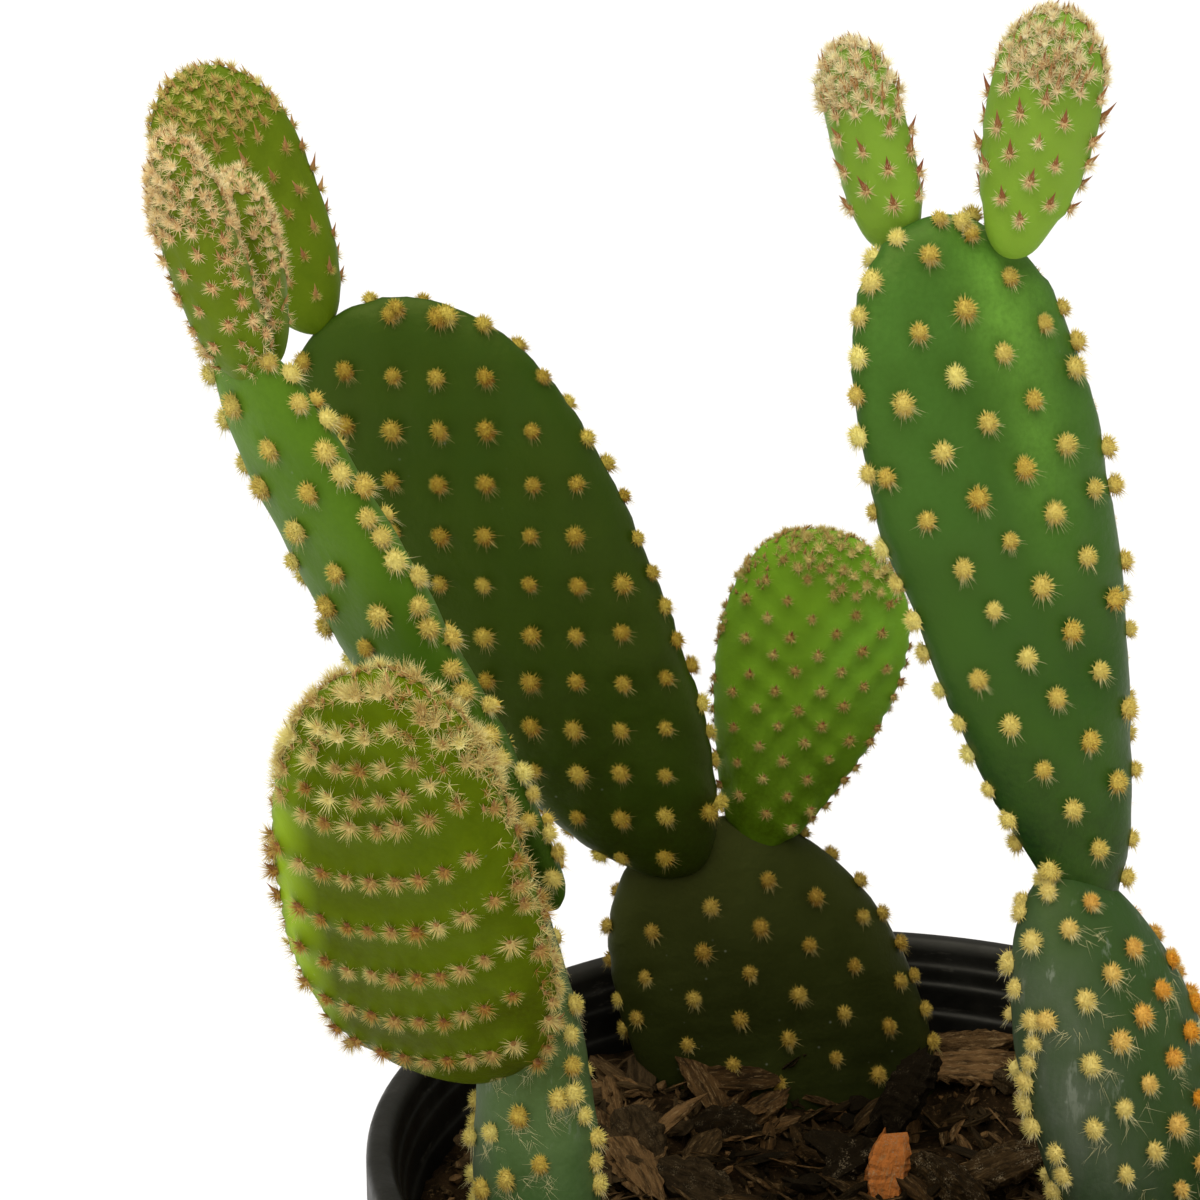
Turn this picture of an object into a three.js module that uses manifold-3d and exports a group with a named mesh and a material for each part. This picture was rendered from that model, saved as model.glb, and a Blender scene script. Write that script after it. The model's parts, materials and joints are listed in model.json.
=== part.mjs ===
// Potted paddle cactus: thirteen pads with tufts, potting mix and a round plastic pot.
// Units are millimetres, +Z is up, the pot's underside is at Z = 0 and its axis is X = Y = 0.
import * as THREE from 'three';
import { ConvexHull } from 'three/addons/math/ConvexHull.js';
import { mergeVertices } from 'three/addons/utils/BufferGeometryUtils.js';
import Module from 'manifold-3d';

const wasm = await Module();
wasm.setup();

// Pot: a six inch round nursery pot with a rolled rim and a stepped upper wall.
const POT_HEIGHT = 140;
const RIM_RADIUS = 77.5;
const RIM_DROP = 9;
const FOOT_RADIUS = 54;
const WALL = 1.8;
const FLOOR = 2.4;
const POT_SIDES = 48;
const DRAIN_HOLES = 6;
const DRAIN_RADIUS = 4.5;
const DRAIN_CIRCLE = 40;

// Potting mix: bark chips filled to 15 mm below the rim.
const SOIL_TOP = 125;
const SOIL_RINGS = 6;
const CHIP_COUNT = 28;

// Shallow hollow behind the middle of the mix: centre, reach and depth.
const HOLLOW_X = 4;
const HOLLOW_Y = 34;
const HOLLOW_REACH = 26;
const HOLLOW_DEPTH = 4.5;

// Clearance between two pieces that touch.
const GAP = 0.3;

// Pad cross-section exponent: higher gives a flatter face with a rounder rim.
const SECTION = 2.6;

// Tuft layout: random shift of each tuft, bare strip at the edge (at most, as a share of the
// width, and above a young pad's crown), closeness of the edge tufts above the crown, shortest
// step that is halved, bare foot, bare length over a pad's joint, round the foot of a pad that
// grows from it and over the mix.
const SHIFT = 0.7;
const BARE_EDGE = 2;
const BARE_SHARE = 0.09;
const BARE_CROWN = 0.9;
const CROWN_RIM = 0.6;
const FINE_STEP = 3.7;
const BARE_FOOT = 3;
const BARE_TIP = 1;
const BARE_JOINT = 5.5;
const BARE_CHILD = 3.2;
const CHILD_SHARE = 0.1;
const BARE_OVER_MIX = 3;

// Steps in which the edge is walked, random start after each edge tuft, how far inside the edge
// an edge tuft's face corners stand, its widest reach as a share of the spacing, how far out the
// face tufts reach, where the plain ring of skin points stands, its step and least count, and how
// far plain points keep away from tufts.
const EDGE_STEPS = 720;
const EDGE_SHIFT = 0.6;
const EDGE_CORNER = 0.975;
const EDGE_ROOM = 0.4;
const FACE_REACH = 0.96;
const EDGE_RING = 0.94;
const EDGE_STEP = 6;
const EDGE_LEAST = 16;
const SKIN_CLEAR = 0.9;

// Tufts on grown pads are low domes, those on young pads are small leaning leaf cones.
const GROWN_TUFT = { radius: 1.9, height: 1.7, lean: 0 };
const SMALL_TUFT = { radius: 1.25, height: 1.5, lean: 0.7 };

// One entry per pad. base is the foot of its axis, tilt turns it to the right seen from the front,
// lean tips it to the back, yaw turns its face, long, wide and thick are its size, taper widens
// the upper half, full squares it off, sweep bends it sideways, rows holds the two steps of
// its tuft lattice (across, along), start is where the lattice starts from the middle, bow curves
// the rows and rim is the tuft spacing on its edge. Above crown, a share of its length, the tufts
// of a young pad stand closer, and so do the edge tufts of every pad.
const PADS = [
  {
    name: 'back_basal_pad', base: [1.5, 48, 95.5], tilt: -15.9, lean: 4, yaw: 5,
    long: 79.5, wide: 50, thick: 14, taper: 0.02, full: 0.13, sweep: -6.9,
    rows: [[-6.2, 5.6], [4.4, 7.2]], start: [0.8, 0], bow: 0, rim: 6.2, crown: 0.94, skin: 'dark',
  },
  {
    name: 'back_tall_pad', base: [-26.3, 47.4, 163], tilt: -31.6, lean: -7, yaw: -6,
    long: 112.5, wide: 48.6, thick: 12, taper: 0.33, full: 0.14, sweep: 3.7,
    rows: [[4.2, 7.2], [-6.2, 3.8]], start: [0.8, -2.6], bow: 0, rim: 6, crown: 0.94, skin: 'dark', parent: 'back_basal_pad',
  },
  {
    name: 'back_tip_pad', base: [-84, 34.3, 257], tilt: -27.4, lean: 0, yaw: 8,
    long: 43.8, wide: 20.7, thick: 8, taper: 0.31, full: 0.09, sweep: 0.1,
    rows: [[3.6, 2.5], [-2.6, 3.7]], start: [0.8, 0], bow: 0, rim: 3.4, crown: 0.7, skin: 'young', parent: 'back_tall_pad',
  },
  {
    name: 'back_small_pad', base: [-16.2, 52, 164.4], tilt: 15.2, lean: -3, yaw: -10,
    long: 57.8, wide: 29.9, thick: 8, taper: 0.42, full: 0.06, sweep: -1.7,
    rows: [[2.4, 4.1], [-4.5, 1.6]], start: [0.8, 0], bow: 0, rim: 2.8, crown: 0.86, skin: 'young', parent: 'back_basal_pad',
  },
  {
    name: 'left_basal_pad', base: [-49.9, -20, 102.2], tilt: -2.5, lean: 3, yaw: -38,
    long: 83.2, wide: 21.1, thick: 13, taper: -0.17, full: -0.07, sweep: 1.4,
    rows: [[-3.2, 6.8], [5.2, 3.2]], start: [0.8, 0], bow: 0, rim: 3.7, crown: 1, skin: 'grey',
  },
  {
    name: 'left_tall_pad', base: [-48.8, -16.8, 183.1], tilt: -28.5, lean: -2, yaw: -48,
    long: 96, wide: 22.2, thick: 9.5, taper: 0.03, full: 0.29, sweep: 5.1,
    rows: [[6.4, 4.2], [-3.8, 7.2]], start: [0.8, 0], bow: 0, rim: 3.4, crown: 0.94, skin: 'mid', parent: 'left_basal_pad',
  },
  {
    name: 'left_tip_pad', base: [-87.3, -25, 260.7], tilt: -20.3, lean: -8, yaw: -45,
    long: 34.7, wide: 12.4, thick: 8, taper: -0.15, full: 0.22, sweep: 4.7,
    rows: [[3.2, 2.6], [-3.2, 2.4]], start: [0.8, 0], bow: 0, rim: 2.6, crown: 0.62, skin: 'young', parent: 'left_tall_pad',
  },
  {
    name: 'left_rear_tip_pad', base: [-86, -17, 261.5], tilt: -10, lean: 5, yaw: -65,
    long: 26, wide: 14, thick: 7, taper: 0.1, full: 0.2, sweep: 0,
    rows: [[3.2, 2.6], [-3.2, 2.4]], start: [0.8, 0], bow: 0, rim: 2.6, crown: 0.45, skin: 'young', parent: 'left_tall_pad',
  },
  {
    name: 'left_front_pad', base: [-62, -17.7, 157.1], tilt: -13.5, lean: -24, yaw: -22,
    long: 80.3, wide: 37.3, thick: 12, taper: -0.2, full: 0.22, sweep: 10.2,
    rows: [[3.4, 0.4], [1.7, 9.9]], start: [0.8, 0], bow: 0.018, rim: 3.4, crown: 0.76, skin: 'young', parent: 'left_basal_pad',
  },
  {
    name: 'right_basal_pad', base: [47.3, -18, 113], tilt: -17, lean: 3, yaw: 32,
    long: 79, wide: 31.5, thick: 18, taper: 0, full: 0, sweep: -1.8,
    rows: [[5, 1.6], [-2.4, 7.8]], start: [0.8, 0], bow: 0, rim: 3.4, crown: 0.94, skin: 'grey',
  },
  {
    name: 'right_tall_pad', base: [29.9, -13, 179], tilt: -14.8, lean: 2, yaw: 18,
    long: 105.4, wide: 34.9, thick: 12, taper: 0.41, full: 0.12, sweep: -1.2,
    rows: [[-3, 7.4], [7.4, 1.5]], start: [0.8, 0], bow: 0, rim: 5.2, crown: 0.94, skin: 'mid', parent: 'right_basal_pad',
  },
  {
    name: 'right_tip_pad_a', base: [-1.2, -6.5, 275], tilt: -14.1, lean: 3, yaw: -35,
    long: 28.8, wide: 10.9, thick: 8, taper: 0.05, full: 0.39, sweep: -1,
    rows: [[3.4, 2.2], [-2.8, 2.8]], start: [0.8, 0], bow: 0, rim: 2.8, crown: 0.66, skin: 'young', parent: 'right_tall_pad',
  },
  {
    name: 'right_tip_pad_b', base: [13.4, -11.4, 275.4], tilt: 10.7, lean: -4, yaw: -20,
    long: 32.4, wide: 14.6, thick: 8, taper: 0.17, full: 0.11, sweep: -1.2,
    rows: [[2.8, 2.7], [-2.8, 2.7]], start: [0.8, 0], bow: 0, rim: 3, crown: 0.7, skin: 'young', parent: 'right_tall_pad',
  },
];

const SKINS = {
  dark: { colour: 0x24421c, roughness: 0.55 },
  mid: { colour: 0x3f7a2c, roughness: 0.5 },
  grey: { colour: 0x4d6b47, roughness: 0.6 },
  young: { colour: 0x6f9a2e, roughness: 0.55 },
};

// Seeded random numbers from 0 to 1.
function seeded(seed) {
  let state = seed >>> 0;
  return () => {
    state = (state + 0x6d2b79f5) >>> 0;
    let v = state;
    v = Math.imul(v ^ (v >>> 15), v | 1);
    v ^= v + Math.imul(v ^ (v >>> 7), v | 61);
    return ((v ^ (v >>> 14)) >>> 0) / 4294967296;
  };
}

const radians = (degrees) => (degrees * Math.PI) / 180;

// Uneven level of the potting mix.
function soilLevel(x, y) {
  const waves = 1.5 * Math.sin(x * 0.11 + 1) * Math.cos(y * 0.09) + 0.8 * Math.sin(x * 0.31 - y * 0.27);
  const away = ((x - HOLLOW_X) ** 2 + (y - HOLLOW_Y) ** 2) / HOLLOW_REACH ** 2;
  return SOIL_TOP + waves - HOLLOW_DEPTH * Math.exp(-away);
}

// Axis, across and face directions of a pad.
function padFrame(pad) {
  const tilt = radians(pad.tilt);
  const lean = radians(pad.lean);
  const yaw = radians(pad.yaw);
  const axis = new THREE.Vector3(Math.sin(tilt) * Math.cos(lean), Math.sin(lean), Math.cos(tilt) * Math.cos(lean));
  const front = new THREE.Vector3(0, -1, 0);
  front.addScaledVector(axis, -front.dot(axis)).normalize();
  const side = new THREE.Vector3().crossVectors(axis, front);
  const face = front.clone().multiplyScalar(Math.cos(yaw)).addScaledVector(side, Math.sin(yaw));
  const across = new THREE.Vector3().crossVectors(axis, face);
  return { axis, across, face };
}

// Width of the outline at height s, from -1 at the foot to 1 at the tip.
const outline = (pad, s) => 1 + pad.taper * s + pad.full * s * s;

// Half width per unit of the outline, so that the widest point measures pad.wide.
function halfWidth(pad) {
  let widest = 0;
  for (let s = -1; s <= 1; s += 0.01) {
    widest = Math.max(widest, Math.sqrt(1 - s * s) * outline(pad, s));
  }
  return pad.wide / 2 / widest;
}

// Point of the pad's skin for (u, s) in the unit disc, pushed out along the skin's normal, moved
// up along the pad and raised square to its middle plane.
function padPoint(pad, u, s, sign, out = 0, up = 0, rise = 0) {
  const rho = Math.min(1, Math.hypot(u, s));
  const width = pad.half * outline(pad, s);
  const depth = Math.sqrt(Math.max(0, 1 - rho ** SECTION));
  const slope = SECTION * Math.max(rho, 1e-4) ** (SECTION - 2);
  const bend = (pad.taper + 2 * pad.full * s) / outline(pad, s);
  const normal = new THREE.Vector3(
    (slope * u) / width,
    (slope * (s - u * u * bend) * 2) / pad.long,
    (4 * sign * depth) / pad.thick,
  ).normalize();
  const t = (s + 1) / 2;
  const x = width * u + normal.x * out + pad.sweep * t * t;
  const y = pad.long * t + normal.y * out + up;
  const z = sign * ((pad.thick * depth) / 2 + rise) + normal.z * out;
  const { axis, across, face } = pad.frame;
  return new THREE.Vector3(...pad.base).addScaledVector(across, x).addScaledVector(axis, y).addScaledVector(face, z);
}

// Disc position of a point given by its distance across and along the pad.
function toDisc(pad, x, y) {
  const s = (2 * y) / pad.long - 1;
  return [x / (pad.half * outline(pad, s)), s];
}

// Tuft positions on one face, on the pad's slanted lattice, counted in half steps. The half
// steps hold a tuft only above a young pad's crown.
function faceSites(pad, sign, random) {
  const sites = [];
  const [[ax, ay], [bx, by]] = pad.rows;
  const reach = Math.ceil((4 * pad.long) / Math.min(Math.hypot(ax, ay), Math.hypot(bx, by)));
  const fine = Math.hypot(ax, ay) < FINE_STEP;
  for (let i = -reach; i <= reach; i += 1) {
    for (let j = -reach; j <= reach; j += 1) {
      const between = i % 2 !== 0 || j % 2 !== 0;
      const across = (i * ax + j * bx) / 2;
      const along = (i * ay + j * by) / 2 + pad.bow * across * across;
      const x = sign * (across + pad.start[0]) + (random() - 0.5) * SHIFT;
      const y = pad.long / 2 + along + pad.start[1] + (random() - 0.5) * SHIFT;
      const crowned = pad.skin === 'young' && y > pad.crown * pad.long;
      if (y < BARE_FOOT || y > pad.long - BARE_TIP) continue;
      if (between && (!crowned || (fine && i % 2 !== 0))) continue;
      const [u, s] = toDisc(pad, x, y);
      const rho = Math.hypot(u, s);
      const clear = ((1 - rho) * Math.hypot(x, (s * pad.long) / 2)) / rho;
      if (clear > (crowned ? BARE_CROWN : Math.min(BARE_EDGE, pad.wide * BARE_SHARE))) {
        sites.push({ u, s, sign, between });
      }
    }
  }
  return sites;
}

// Tuft positions along the pad's edge, evenly spaced by length and closer above the crown.
function rimSites(pad, random) {
  const sites = [];
  let last = padPoint(pad, 0, -1, 1);
  let travelled = pad.rim / 2;
  for (let i = 1; i < EDGE_STEPS; i += 1) {
    const angle = -Math.PI / 2 + (2 * Math.PI * i) / EDGE_STEPS;
    const here = padPoint(pad, Math.cos(angle), Math.sin(angle), 1);
    travelled += here.distanceTo(last);
    last = here;
    const height = (Math.sin(angle) + 1) / 2;
    const spacing = pad.rim * (height > pad.crown ? CROWN_RIM : 1);
    if (travelled >= spacing) {
      travelled = (random() - 0.5) * EDGE_SHIFT;
      sites.push({ u: Math.cos(angle), s: Math.sin(angle), sign: 0, angle, room: spacing * EDGE_ROOM });
    }
  }
  return sites;
}

// Sites that stay clear of the soil, of the pad's own foot and of the pads that grow from it.
function openSites(pad, sites, children) {
  return sites.filter((site) => {
    const point = padPoint(pad, site.u, site.s, site.sign || 1);
    if (point.z < soilLevel(point.x, point.y) + BARE_OVER_MIX) return false;
    if (pad.parent && (site.s + 1) * pad.long < 2 * BARE_JOINT) return false;
    return children.every((child) => {
      const foot = new THREE.Vector3(...child.base).addScaledVector(child.frame.axis, 2);
      return foot.distanceTo(point) > child.wide * CHILD_SHARE + BARE_CHILD;
    });
  });
}

// Plain skin points: the edge, and a ring inside the edge on each face.
function skinPoints(pad) {
  const points = [];
  const edge = Math.max(EDGE_LEAST, Math.round(pad.long / EDGE_STEP));
  for (let i = 0; i < edge; i += 1) {
    const angle = (2 * Math.PI * (i + 0.5)) / edge;
    points.push({ u: Math.cos(angle), s: Math.sin(angle), sign: 0 });
    for (const sign of [1, -1]) {
      const turn = angle + Math.PI / edge;
      points.push({ u: EDGE_RING * Math.cos(turn), s: EDGE_RING * Math.sin(turn), sign });
    }
  }
  return points;
}

// A tuft: a few foot points on the skin round one raised tip.
function tuftPoints(pad, site, tuft, random) {
  const points = [];
  const size = 0.85 + random() * 0.3;
  const radius = tuft.radius * size;
  const height = tuft.height * size;
  if (site.sign === 0) {
    const near = padPoint(pad, site.u, site.s, 1);
    const next = site.angle + 2 * Math.PI / EDGE_STEPS;
    const far = padPoint(pad, Math.cos(next), Math.sin(next), 1);
    const turn = ((next - site.angle) * Math.min(radius, site.room)) / far.distanceTo(near);
    points.push({ u: Math.cos(site.angle + turn), s: Math.sin(site.angle + turn), sign: 0 });
    points.push({ u: Math.cos(site.angle - turn), s: Math.sin(site.angle - turn), sign: 0 });
    points.push({ u: EDGE_CORNER * site.u, s: EDGE_CORNER * site.s, sign: 1 });
    points.push({ u: EDGE_CORNER * site.u, s: EDGE_CORNER * site.s, sign: -1 });
    points.push({ ...site, out: height, up: Math.min(tuft.lean, site.room / 2) });
    return points;
  }
  const tip = inside({ u: site.u, s: site.s + (2 * tuft.lean) / pad.long, sign: site.sign, rise: height });
  if (site.between) return [tip];
  const feet = tuft.lean > 0 ? 3 : 4;
  const width = pad.half * outline(pad, site.s);
  for (let i = 0; i < feet; i += 1) {
    const angle = -Math.PI / 2 + (2 * Math.PI * i) / feet;
    const u = site.u + (radius * Math.cos(angle)) / width;
    const s = site.s + (radius * Math.sin(angle) * 2) / pad.long;
    points.push(inside({ u, s, sign: site.sign }));
  }
  points.push(tip);
  return points;
}

// The same point drawn in so that it stays inside the edge tufts' corners.
function inside(point) {
  const share = Math.min(1, FACE_REACH / Math.hypot(point.u, point.s));
  return { ...point, u: point.u * share, s: point.s * share };
}

// Closed mesh of one pad. grow pushes the whole skin out, for cutting its seat in a neighbour.
function padMesh(pad, grow) {
  const random = seeded(pad.seed);
  const children = PADS.filter((other) => other.parent === pad.name);
  const sites = [...faceSites(pad, 1, random), ...faceSites(pad, -1, random), ...rimSites(pad, random)];
  const tuft = pad.skin === 'young' ? SMALL_TUFT : GROWN_TUFT;
  const entries = [];
  for (const site of openSites(pad, sites, children)) entries.push(...tuftPoints(pad, site, tuft, random));
  const tuftEntries = [...entries];
  for (const point of skinPoints(pad)) {
    const clear = tuftEntries.every((other) => {
      if (other.sign * point.sign < 0) return true;
      const du = (other.u - point.u) * pad.half * outline(pad, point.s);
      const ds = ((other.s - point.s) * pad.long) / 2;
      return Math.hypot(du, ds) > SKIN_CLEAR;
    });
    if (clear) entries.push(point);
  }
  const lens = entries.map((entry) => {
    const height = entry.sign * (1 - entry.u * entry.u - entry.s * entry.s);
    const corner = new THREE.Vector3(entry.u, entry.s, height);
    corner.entry = entry;
    return corner;
  });
  const hull = new ConvexHull().setFromPoints(lens);
  const index = new Map();
  const positions = [];
  const triangles = [];
  const number = (corner) => {
    if (!index.has(corner)) {
      const { u, s, sign, out = 0, up = 0, rise = 0 } = corner.entry;
      const place = padPoint(pad, u, s, sign || 1, out + grow, up, rise);
      index.set(corner, positions.length / 3);
      positions.push(place.x, place.y, place.z);
    }
    return index.get(corner);
  };
  for (const face of hull.faces) {
    const ring = [];
    let edge = face.edge;
    do {
      ring.push(number(edge.head().point));
      edge = edge.next;
    } while (edge !== face.edge);
    for (let i = 1; i < ring.length - 1; i += 1) triangles.push(ring[0], ring[i], ring[i + 1]);
  }
  return { positions, triangles };
}

const toManifold = ({ positions, triangles }) =>
  new wasm.Manifold(new wasm.Mesh({
    numProp: 3,
    vertProperties: new Float32Array(positions),
    triVerts: new Uint32Array(triangles),
  }));

function fromManifold(solid) {
  const mesh = solid.getMesh();
  const geometry = new THREE.BufferGeometry();
  geometry.setAttribute('position', new THREE.BufferAttribute(mesh.vertProperties, 3));
  geometry.setIndex(new THREE.BufferAttribute(mesh.triVerts, 1));
  return geometry;
}

function geometryToManifold(geometry) {
  geometry.deleteAttribute('normal');
  geometry.deleteAttribute('uv');
  const merged = mergeVertices(geometry);
  return toManifold({ positions: merged.attributes.position.array, triangles: merged.index.array });
}

// A closed ring or disc of revolution. Profile points are [radius, height], outside first.
function revolve(profile, sides, shape) {
  const positions = [];
  const triangles = [];
  const starts = [];
  for (const [radius, height] of profile) {
    starts.push(positions.length / 3);
    if (radius === 0) {
      positions.push(0, 0, shape ? shape(0, 0, height) : height);
      continue;
    }
    for (let i = 0; i < sides; i += 1) {
      const angle = (2 * Math.PI * i) / sides;
      const x = radius * Math.cos(angle);
      const y = radius * Math.sin(angle);
      positions.push(x, y, shape ? shape(x, y, height) : height);
    }
  }
  for (let k = 0; k < profile.length; k += 1) {
    const next = (k + 1) % profile.length;
    const single = profile[k][0] === 0;
    const nextSingle = profile[next][0] === 0;
    if (single && nextSingle) continue;
    for (let i = 0; i < sides; i += 1) {
      const j = (i + 1) % sides;
      const a = single ? starts[k] : starts[k] + i;
      const b = single ? starts[k] : starts[k] + j;
      const c = nextSingle ? starts[next] : starts[next] + i;
      const d = nextSingle ? starts[next] : starts[next] + j;
      if (!single) triangles.push(a, b, d);
      if (!nextSingle) triangles.push(a, d, c);
    }
  }
  return toManifold({ positions, triangles });
}

// Radius of the pot's outer wall under the rim band at a height.
const outerRadius = (z) => FOOT_RADIUS + ((RIM_RADIUS - 3.6 - FOOT_RADIUS) * z) / (POT_HEIGHT - RIM_DROP);

// Round pot with a rolled rim, a stepped upper wall and drainage holes.
function pot() {
  const top = POT_HEIGHT;
  const profile = [
    [0, 0],
    [FOOT_RADIUS - 1.5, 0],
    [FOOT_RADIUS, 1.5],
    [outerRadius(top - 30), top - 30],
    [outerRadius(top - 30) + 1, top - 28.5],
    [outerRadius(top - RIM_DROP) + 0.6, top - RIM_DROP],
    [RIM_RADIUS - 0.5, top - RIM_DROP],
    [RIM_RADIUS, top - RIM_DROP + 1],
    [RIM_RADIUS, top - 1],
    [RIM_RADIUS - 1, top],
    [RIM_RADIUS - 3.2, top],
    [RIM_RADIUS - 4.2, top - 1.2],
    [RIM_RADIUS - 4.6, top - 6],
    [RIM_RADIUS - 5.8, top - 7],
    [outerRadius(top - 30) - WALL + 0.8, top - 28],
    [outerRadius(top - 30) - WALL, top - 30],
    [outerRadius(FLOOR) - WALL, FLOOR + 1],
    [outerRadius(FLOOR) - WALL - 1, FLOOR],
    [0, FLOOR],
  ];
  let solid = revolve(profile, POT_SIDES);
  for (let i = 0; i < DRAIN_HOLES; i += 1) {
    const angle = (2 * Math.PI * (i + 0.5)) / DRAIN_HOLES;
    const hole = new THREE.CylinderGeometry(DRAIN_RADIUS, DRAIN_RADIUS, 12, 12);
    hole.rotateX(Math.PI / 2);
    hole.translate(DRAIN_CIRCLE * Math.cos(angle), DRAIN_CIRCLE * Math.sin(angle), 0);
    solid = solid.subtract(geometryToManifold(hole));
  }
  return solid;
}

// Inner radius of the pot at a height, less the clearance.
const soilRadius = (z) => outerRadius(z) - WALL - GAP;

// One flat splintered bark chip lying on the mix.
function barkChip(random) {
  const points = [];
  const long = 7 + random() * 11;
  const wide = 3.5 + random() * 4.5;
  const thick = 2 + random() * 2.5;
  for (let i = 0; i < 9; i += 1) {
    const angle = (2 * Math.PI * i) / 9;
    const size = 0.8 + random() * 0.3;
    points.push(new THREE.Vector3(
      (long / 2) * Math.cos(angle) * size,
      (wide / 2) * Math.sin(angle) * size,
      (i % 2 ? -1 : 1) * (thick / 2) * size,
    ));
  }
  const reach = Math.sqrt(random()) * (soilRadius(SOIL_TOP) - long / 2 - 3);
  const bearing = random() * 2 * Math.PI;
  const turn = new THREE.Euler((random() - 0.5) * 0.7, (random() - 0.5) * 0.6, random() * Math.PI);
  const x = reach * Math.cos(bearing);
  const y = reach * Math.sin(bearing);
  const place = new THREE.Matrix4().makeRotationFromEuler(turn);
  place.setPosition(x, y, soilLevel(x, y) + thick * 0.2);
  for (const point of points) point.applyMatrix4(place);
  const hull = new ConvexHull().setFromPoints(points);
  const positions = [];
  for (const face of hull.faces) {
    const ring = [];
    let edge = face.edge;
    do {
      ring.push(edge.head().point);
      edge = edge.next;
    } while (edge !== face.edge);
    for (let i = 1; i < ring.length - 1; i += 1) {
      for (const corner of [ring[0], ring[i], ring[i + 1]]) positions.push(corner.x, corner.y, corner.z);
    }
  }
  const geometry = new THREE.BufferGeometry();
  geometry.setAttribute('position', new THREE.Float32BufferAttribute(positions, 3));
  return geometryToManifold(geometry);
}

// Potting mix with its top chips fused in, and a plain hole for each pad that stands in it.
function soil(standing) {
  const profile = [[0, FLOOR + GAP], [soilRadius(FLOOR) - 1, FLOOR + GAP]];
  profile.push([soilRadius(FLOOR + 1), FLOOR + 1 + GAP]);
  profile.push([soilRadius(POT_HEIGHT - 30), POT_HEIGHT - 30]);
  profile.push([soilRadius(POT_HEIGHT - 30) + 0.8, POT_HEIGHT - 28]);
  const edge = RIM_RADIUS - 7;
  for (let i = SOIL_RINGS; i >= 0; i -= 1) profile.push([(edge * i) / SOIL_RINGS, SOIL_TOP]);
  const shape = (x, y, height) => (height === SOIL_TOP ? soilLevel(x, y) : height);
  let solid = revolve(profile, POT_SIDES, shape);
  const random = seeded(77);
  const chips = [];
  for (let i = 0; i < CHIP_COUNT; i += 1) chips.push(barkChip(random));
  solid = solid.add(wasm.Manifold.union(chips));
  for (const pad of standing) solid = solid.subtract(toManifold(padMesh(pad, GAP)));
  return solid;
}

function addNode(group, name, geometry, colour, roughness) {
  const flat = geometry.index ? geometry.toNonIndexed() : geometry;
  flat.computeVertexNormals();
  const mesh = new THREE.Mesh(flat, new THREE.MeshStandardMaterial({ color: colour, roughness, metalness: 0 }));
  mesh.name = name;
  group.add(mesh);
}

PADS.forEach((pad, i) => {
  pad.seed = 100 + i;
  pad.half = halfWidth(pad);
  pad.frame = padFrame(pad);
});

const group = new THREE.Group();
addNode(group, 'pot', fromManifold(pot()), 0x161616, 0.45);
addNode(group, 'potting_mix', fromManifold(soil(PADS.filter((pad) => !pad.parent))), 0x3b2417, 0.95);
for (const pad of PADS) {
  let solid = toManifold(padMesh(pad, 0));
  if (pad.parent) {
    const parent = PADS.find((other) => other.name === pad.parent);
    solid = solid.subtract(toManifold(padMesh(parent, GAP)));
    const sibling = PADS.find((other) => other.parent === pad.parent && other.seed < pad.seed);
    if (sibling) solid = solid.subtract(toManifold(padMesh(sibling, GAP)));
  }
  const skin = SKINS[pad.skin];
  addNode(group, pad.name, fromManifold(solid), skin.colour, skin.roughness);
}

export default group;
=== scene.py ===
"""Looks for the potted paddle cactus: skins, tufts, leaves, bark, pot, light and camera.

Shapes are worked out in millimetres in the CAD frame and written to Blender in metres.
"""
import json
import math

import bpy
import numpy as np
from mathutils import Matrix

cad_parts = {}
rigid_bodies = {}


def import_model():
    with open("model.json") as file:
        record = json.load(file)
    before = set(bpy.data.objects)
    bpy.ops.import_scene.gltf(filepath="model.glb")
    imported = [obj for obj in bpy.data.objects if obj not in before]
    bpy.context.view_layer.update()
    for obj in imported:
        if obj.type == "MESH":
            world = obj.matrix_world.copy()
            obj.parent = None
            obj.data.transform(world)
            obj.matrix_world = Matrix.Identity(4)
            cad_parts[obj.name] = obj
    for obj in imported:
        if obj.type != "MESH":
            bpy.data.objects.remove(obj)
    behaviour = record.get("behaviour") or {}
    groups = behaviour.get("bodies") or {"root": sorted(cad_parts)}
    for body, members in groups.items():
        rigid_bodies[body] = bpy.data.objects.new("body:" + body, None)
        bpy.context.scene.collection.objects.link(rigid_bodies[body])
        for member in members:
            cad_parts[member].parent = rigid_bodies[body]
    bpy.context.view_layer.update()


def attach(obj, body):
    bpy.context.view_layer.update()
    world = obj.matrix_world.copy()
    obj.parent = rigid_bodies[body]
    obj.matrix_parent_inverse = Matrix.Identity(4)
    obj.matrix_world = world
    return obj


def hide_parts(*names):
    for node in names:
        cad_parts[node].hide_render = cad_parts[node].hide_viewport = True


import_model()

MM = 0.001

# Camera, in millimetres and pixels of the 1200 px wide photograph.
CAMERA_PLACE = (-41.9, -360.7, 327.0)
CAMERA_PITCH = 15.95
FOCAL_PIXELS = 2600.0
IMAGE_PIXELS = 1200.0
SENSOR = 36.0

# Pot and mix, as in the CAD model.
POT_HEIGHT = 140.0
RIM_RADIUS = 77.5
RIM_DROP = 9.0
STEP_DROP = 30.0
FOOT_RADIUS = 54.0
WALL = 1.8
FLOOR = 2.4
DRAIN_HOLES = 6
DRAIN_RADIUS = 4.5
DRAIN_CIRCLE = 40.0
SOIL_TOP = 125.0
HOLLOW_X = 4.0
HOLLOW_Y = 34.0
HOLLOW_REACH = 26.0
HOLLOW_DEPTH = 4.5

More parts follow.
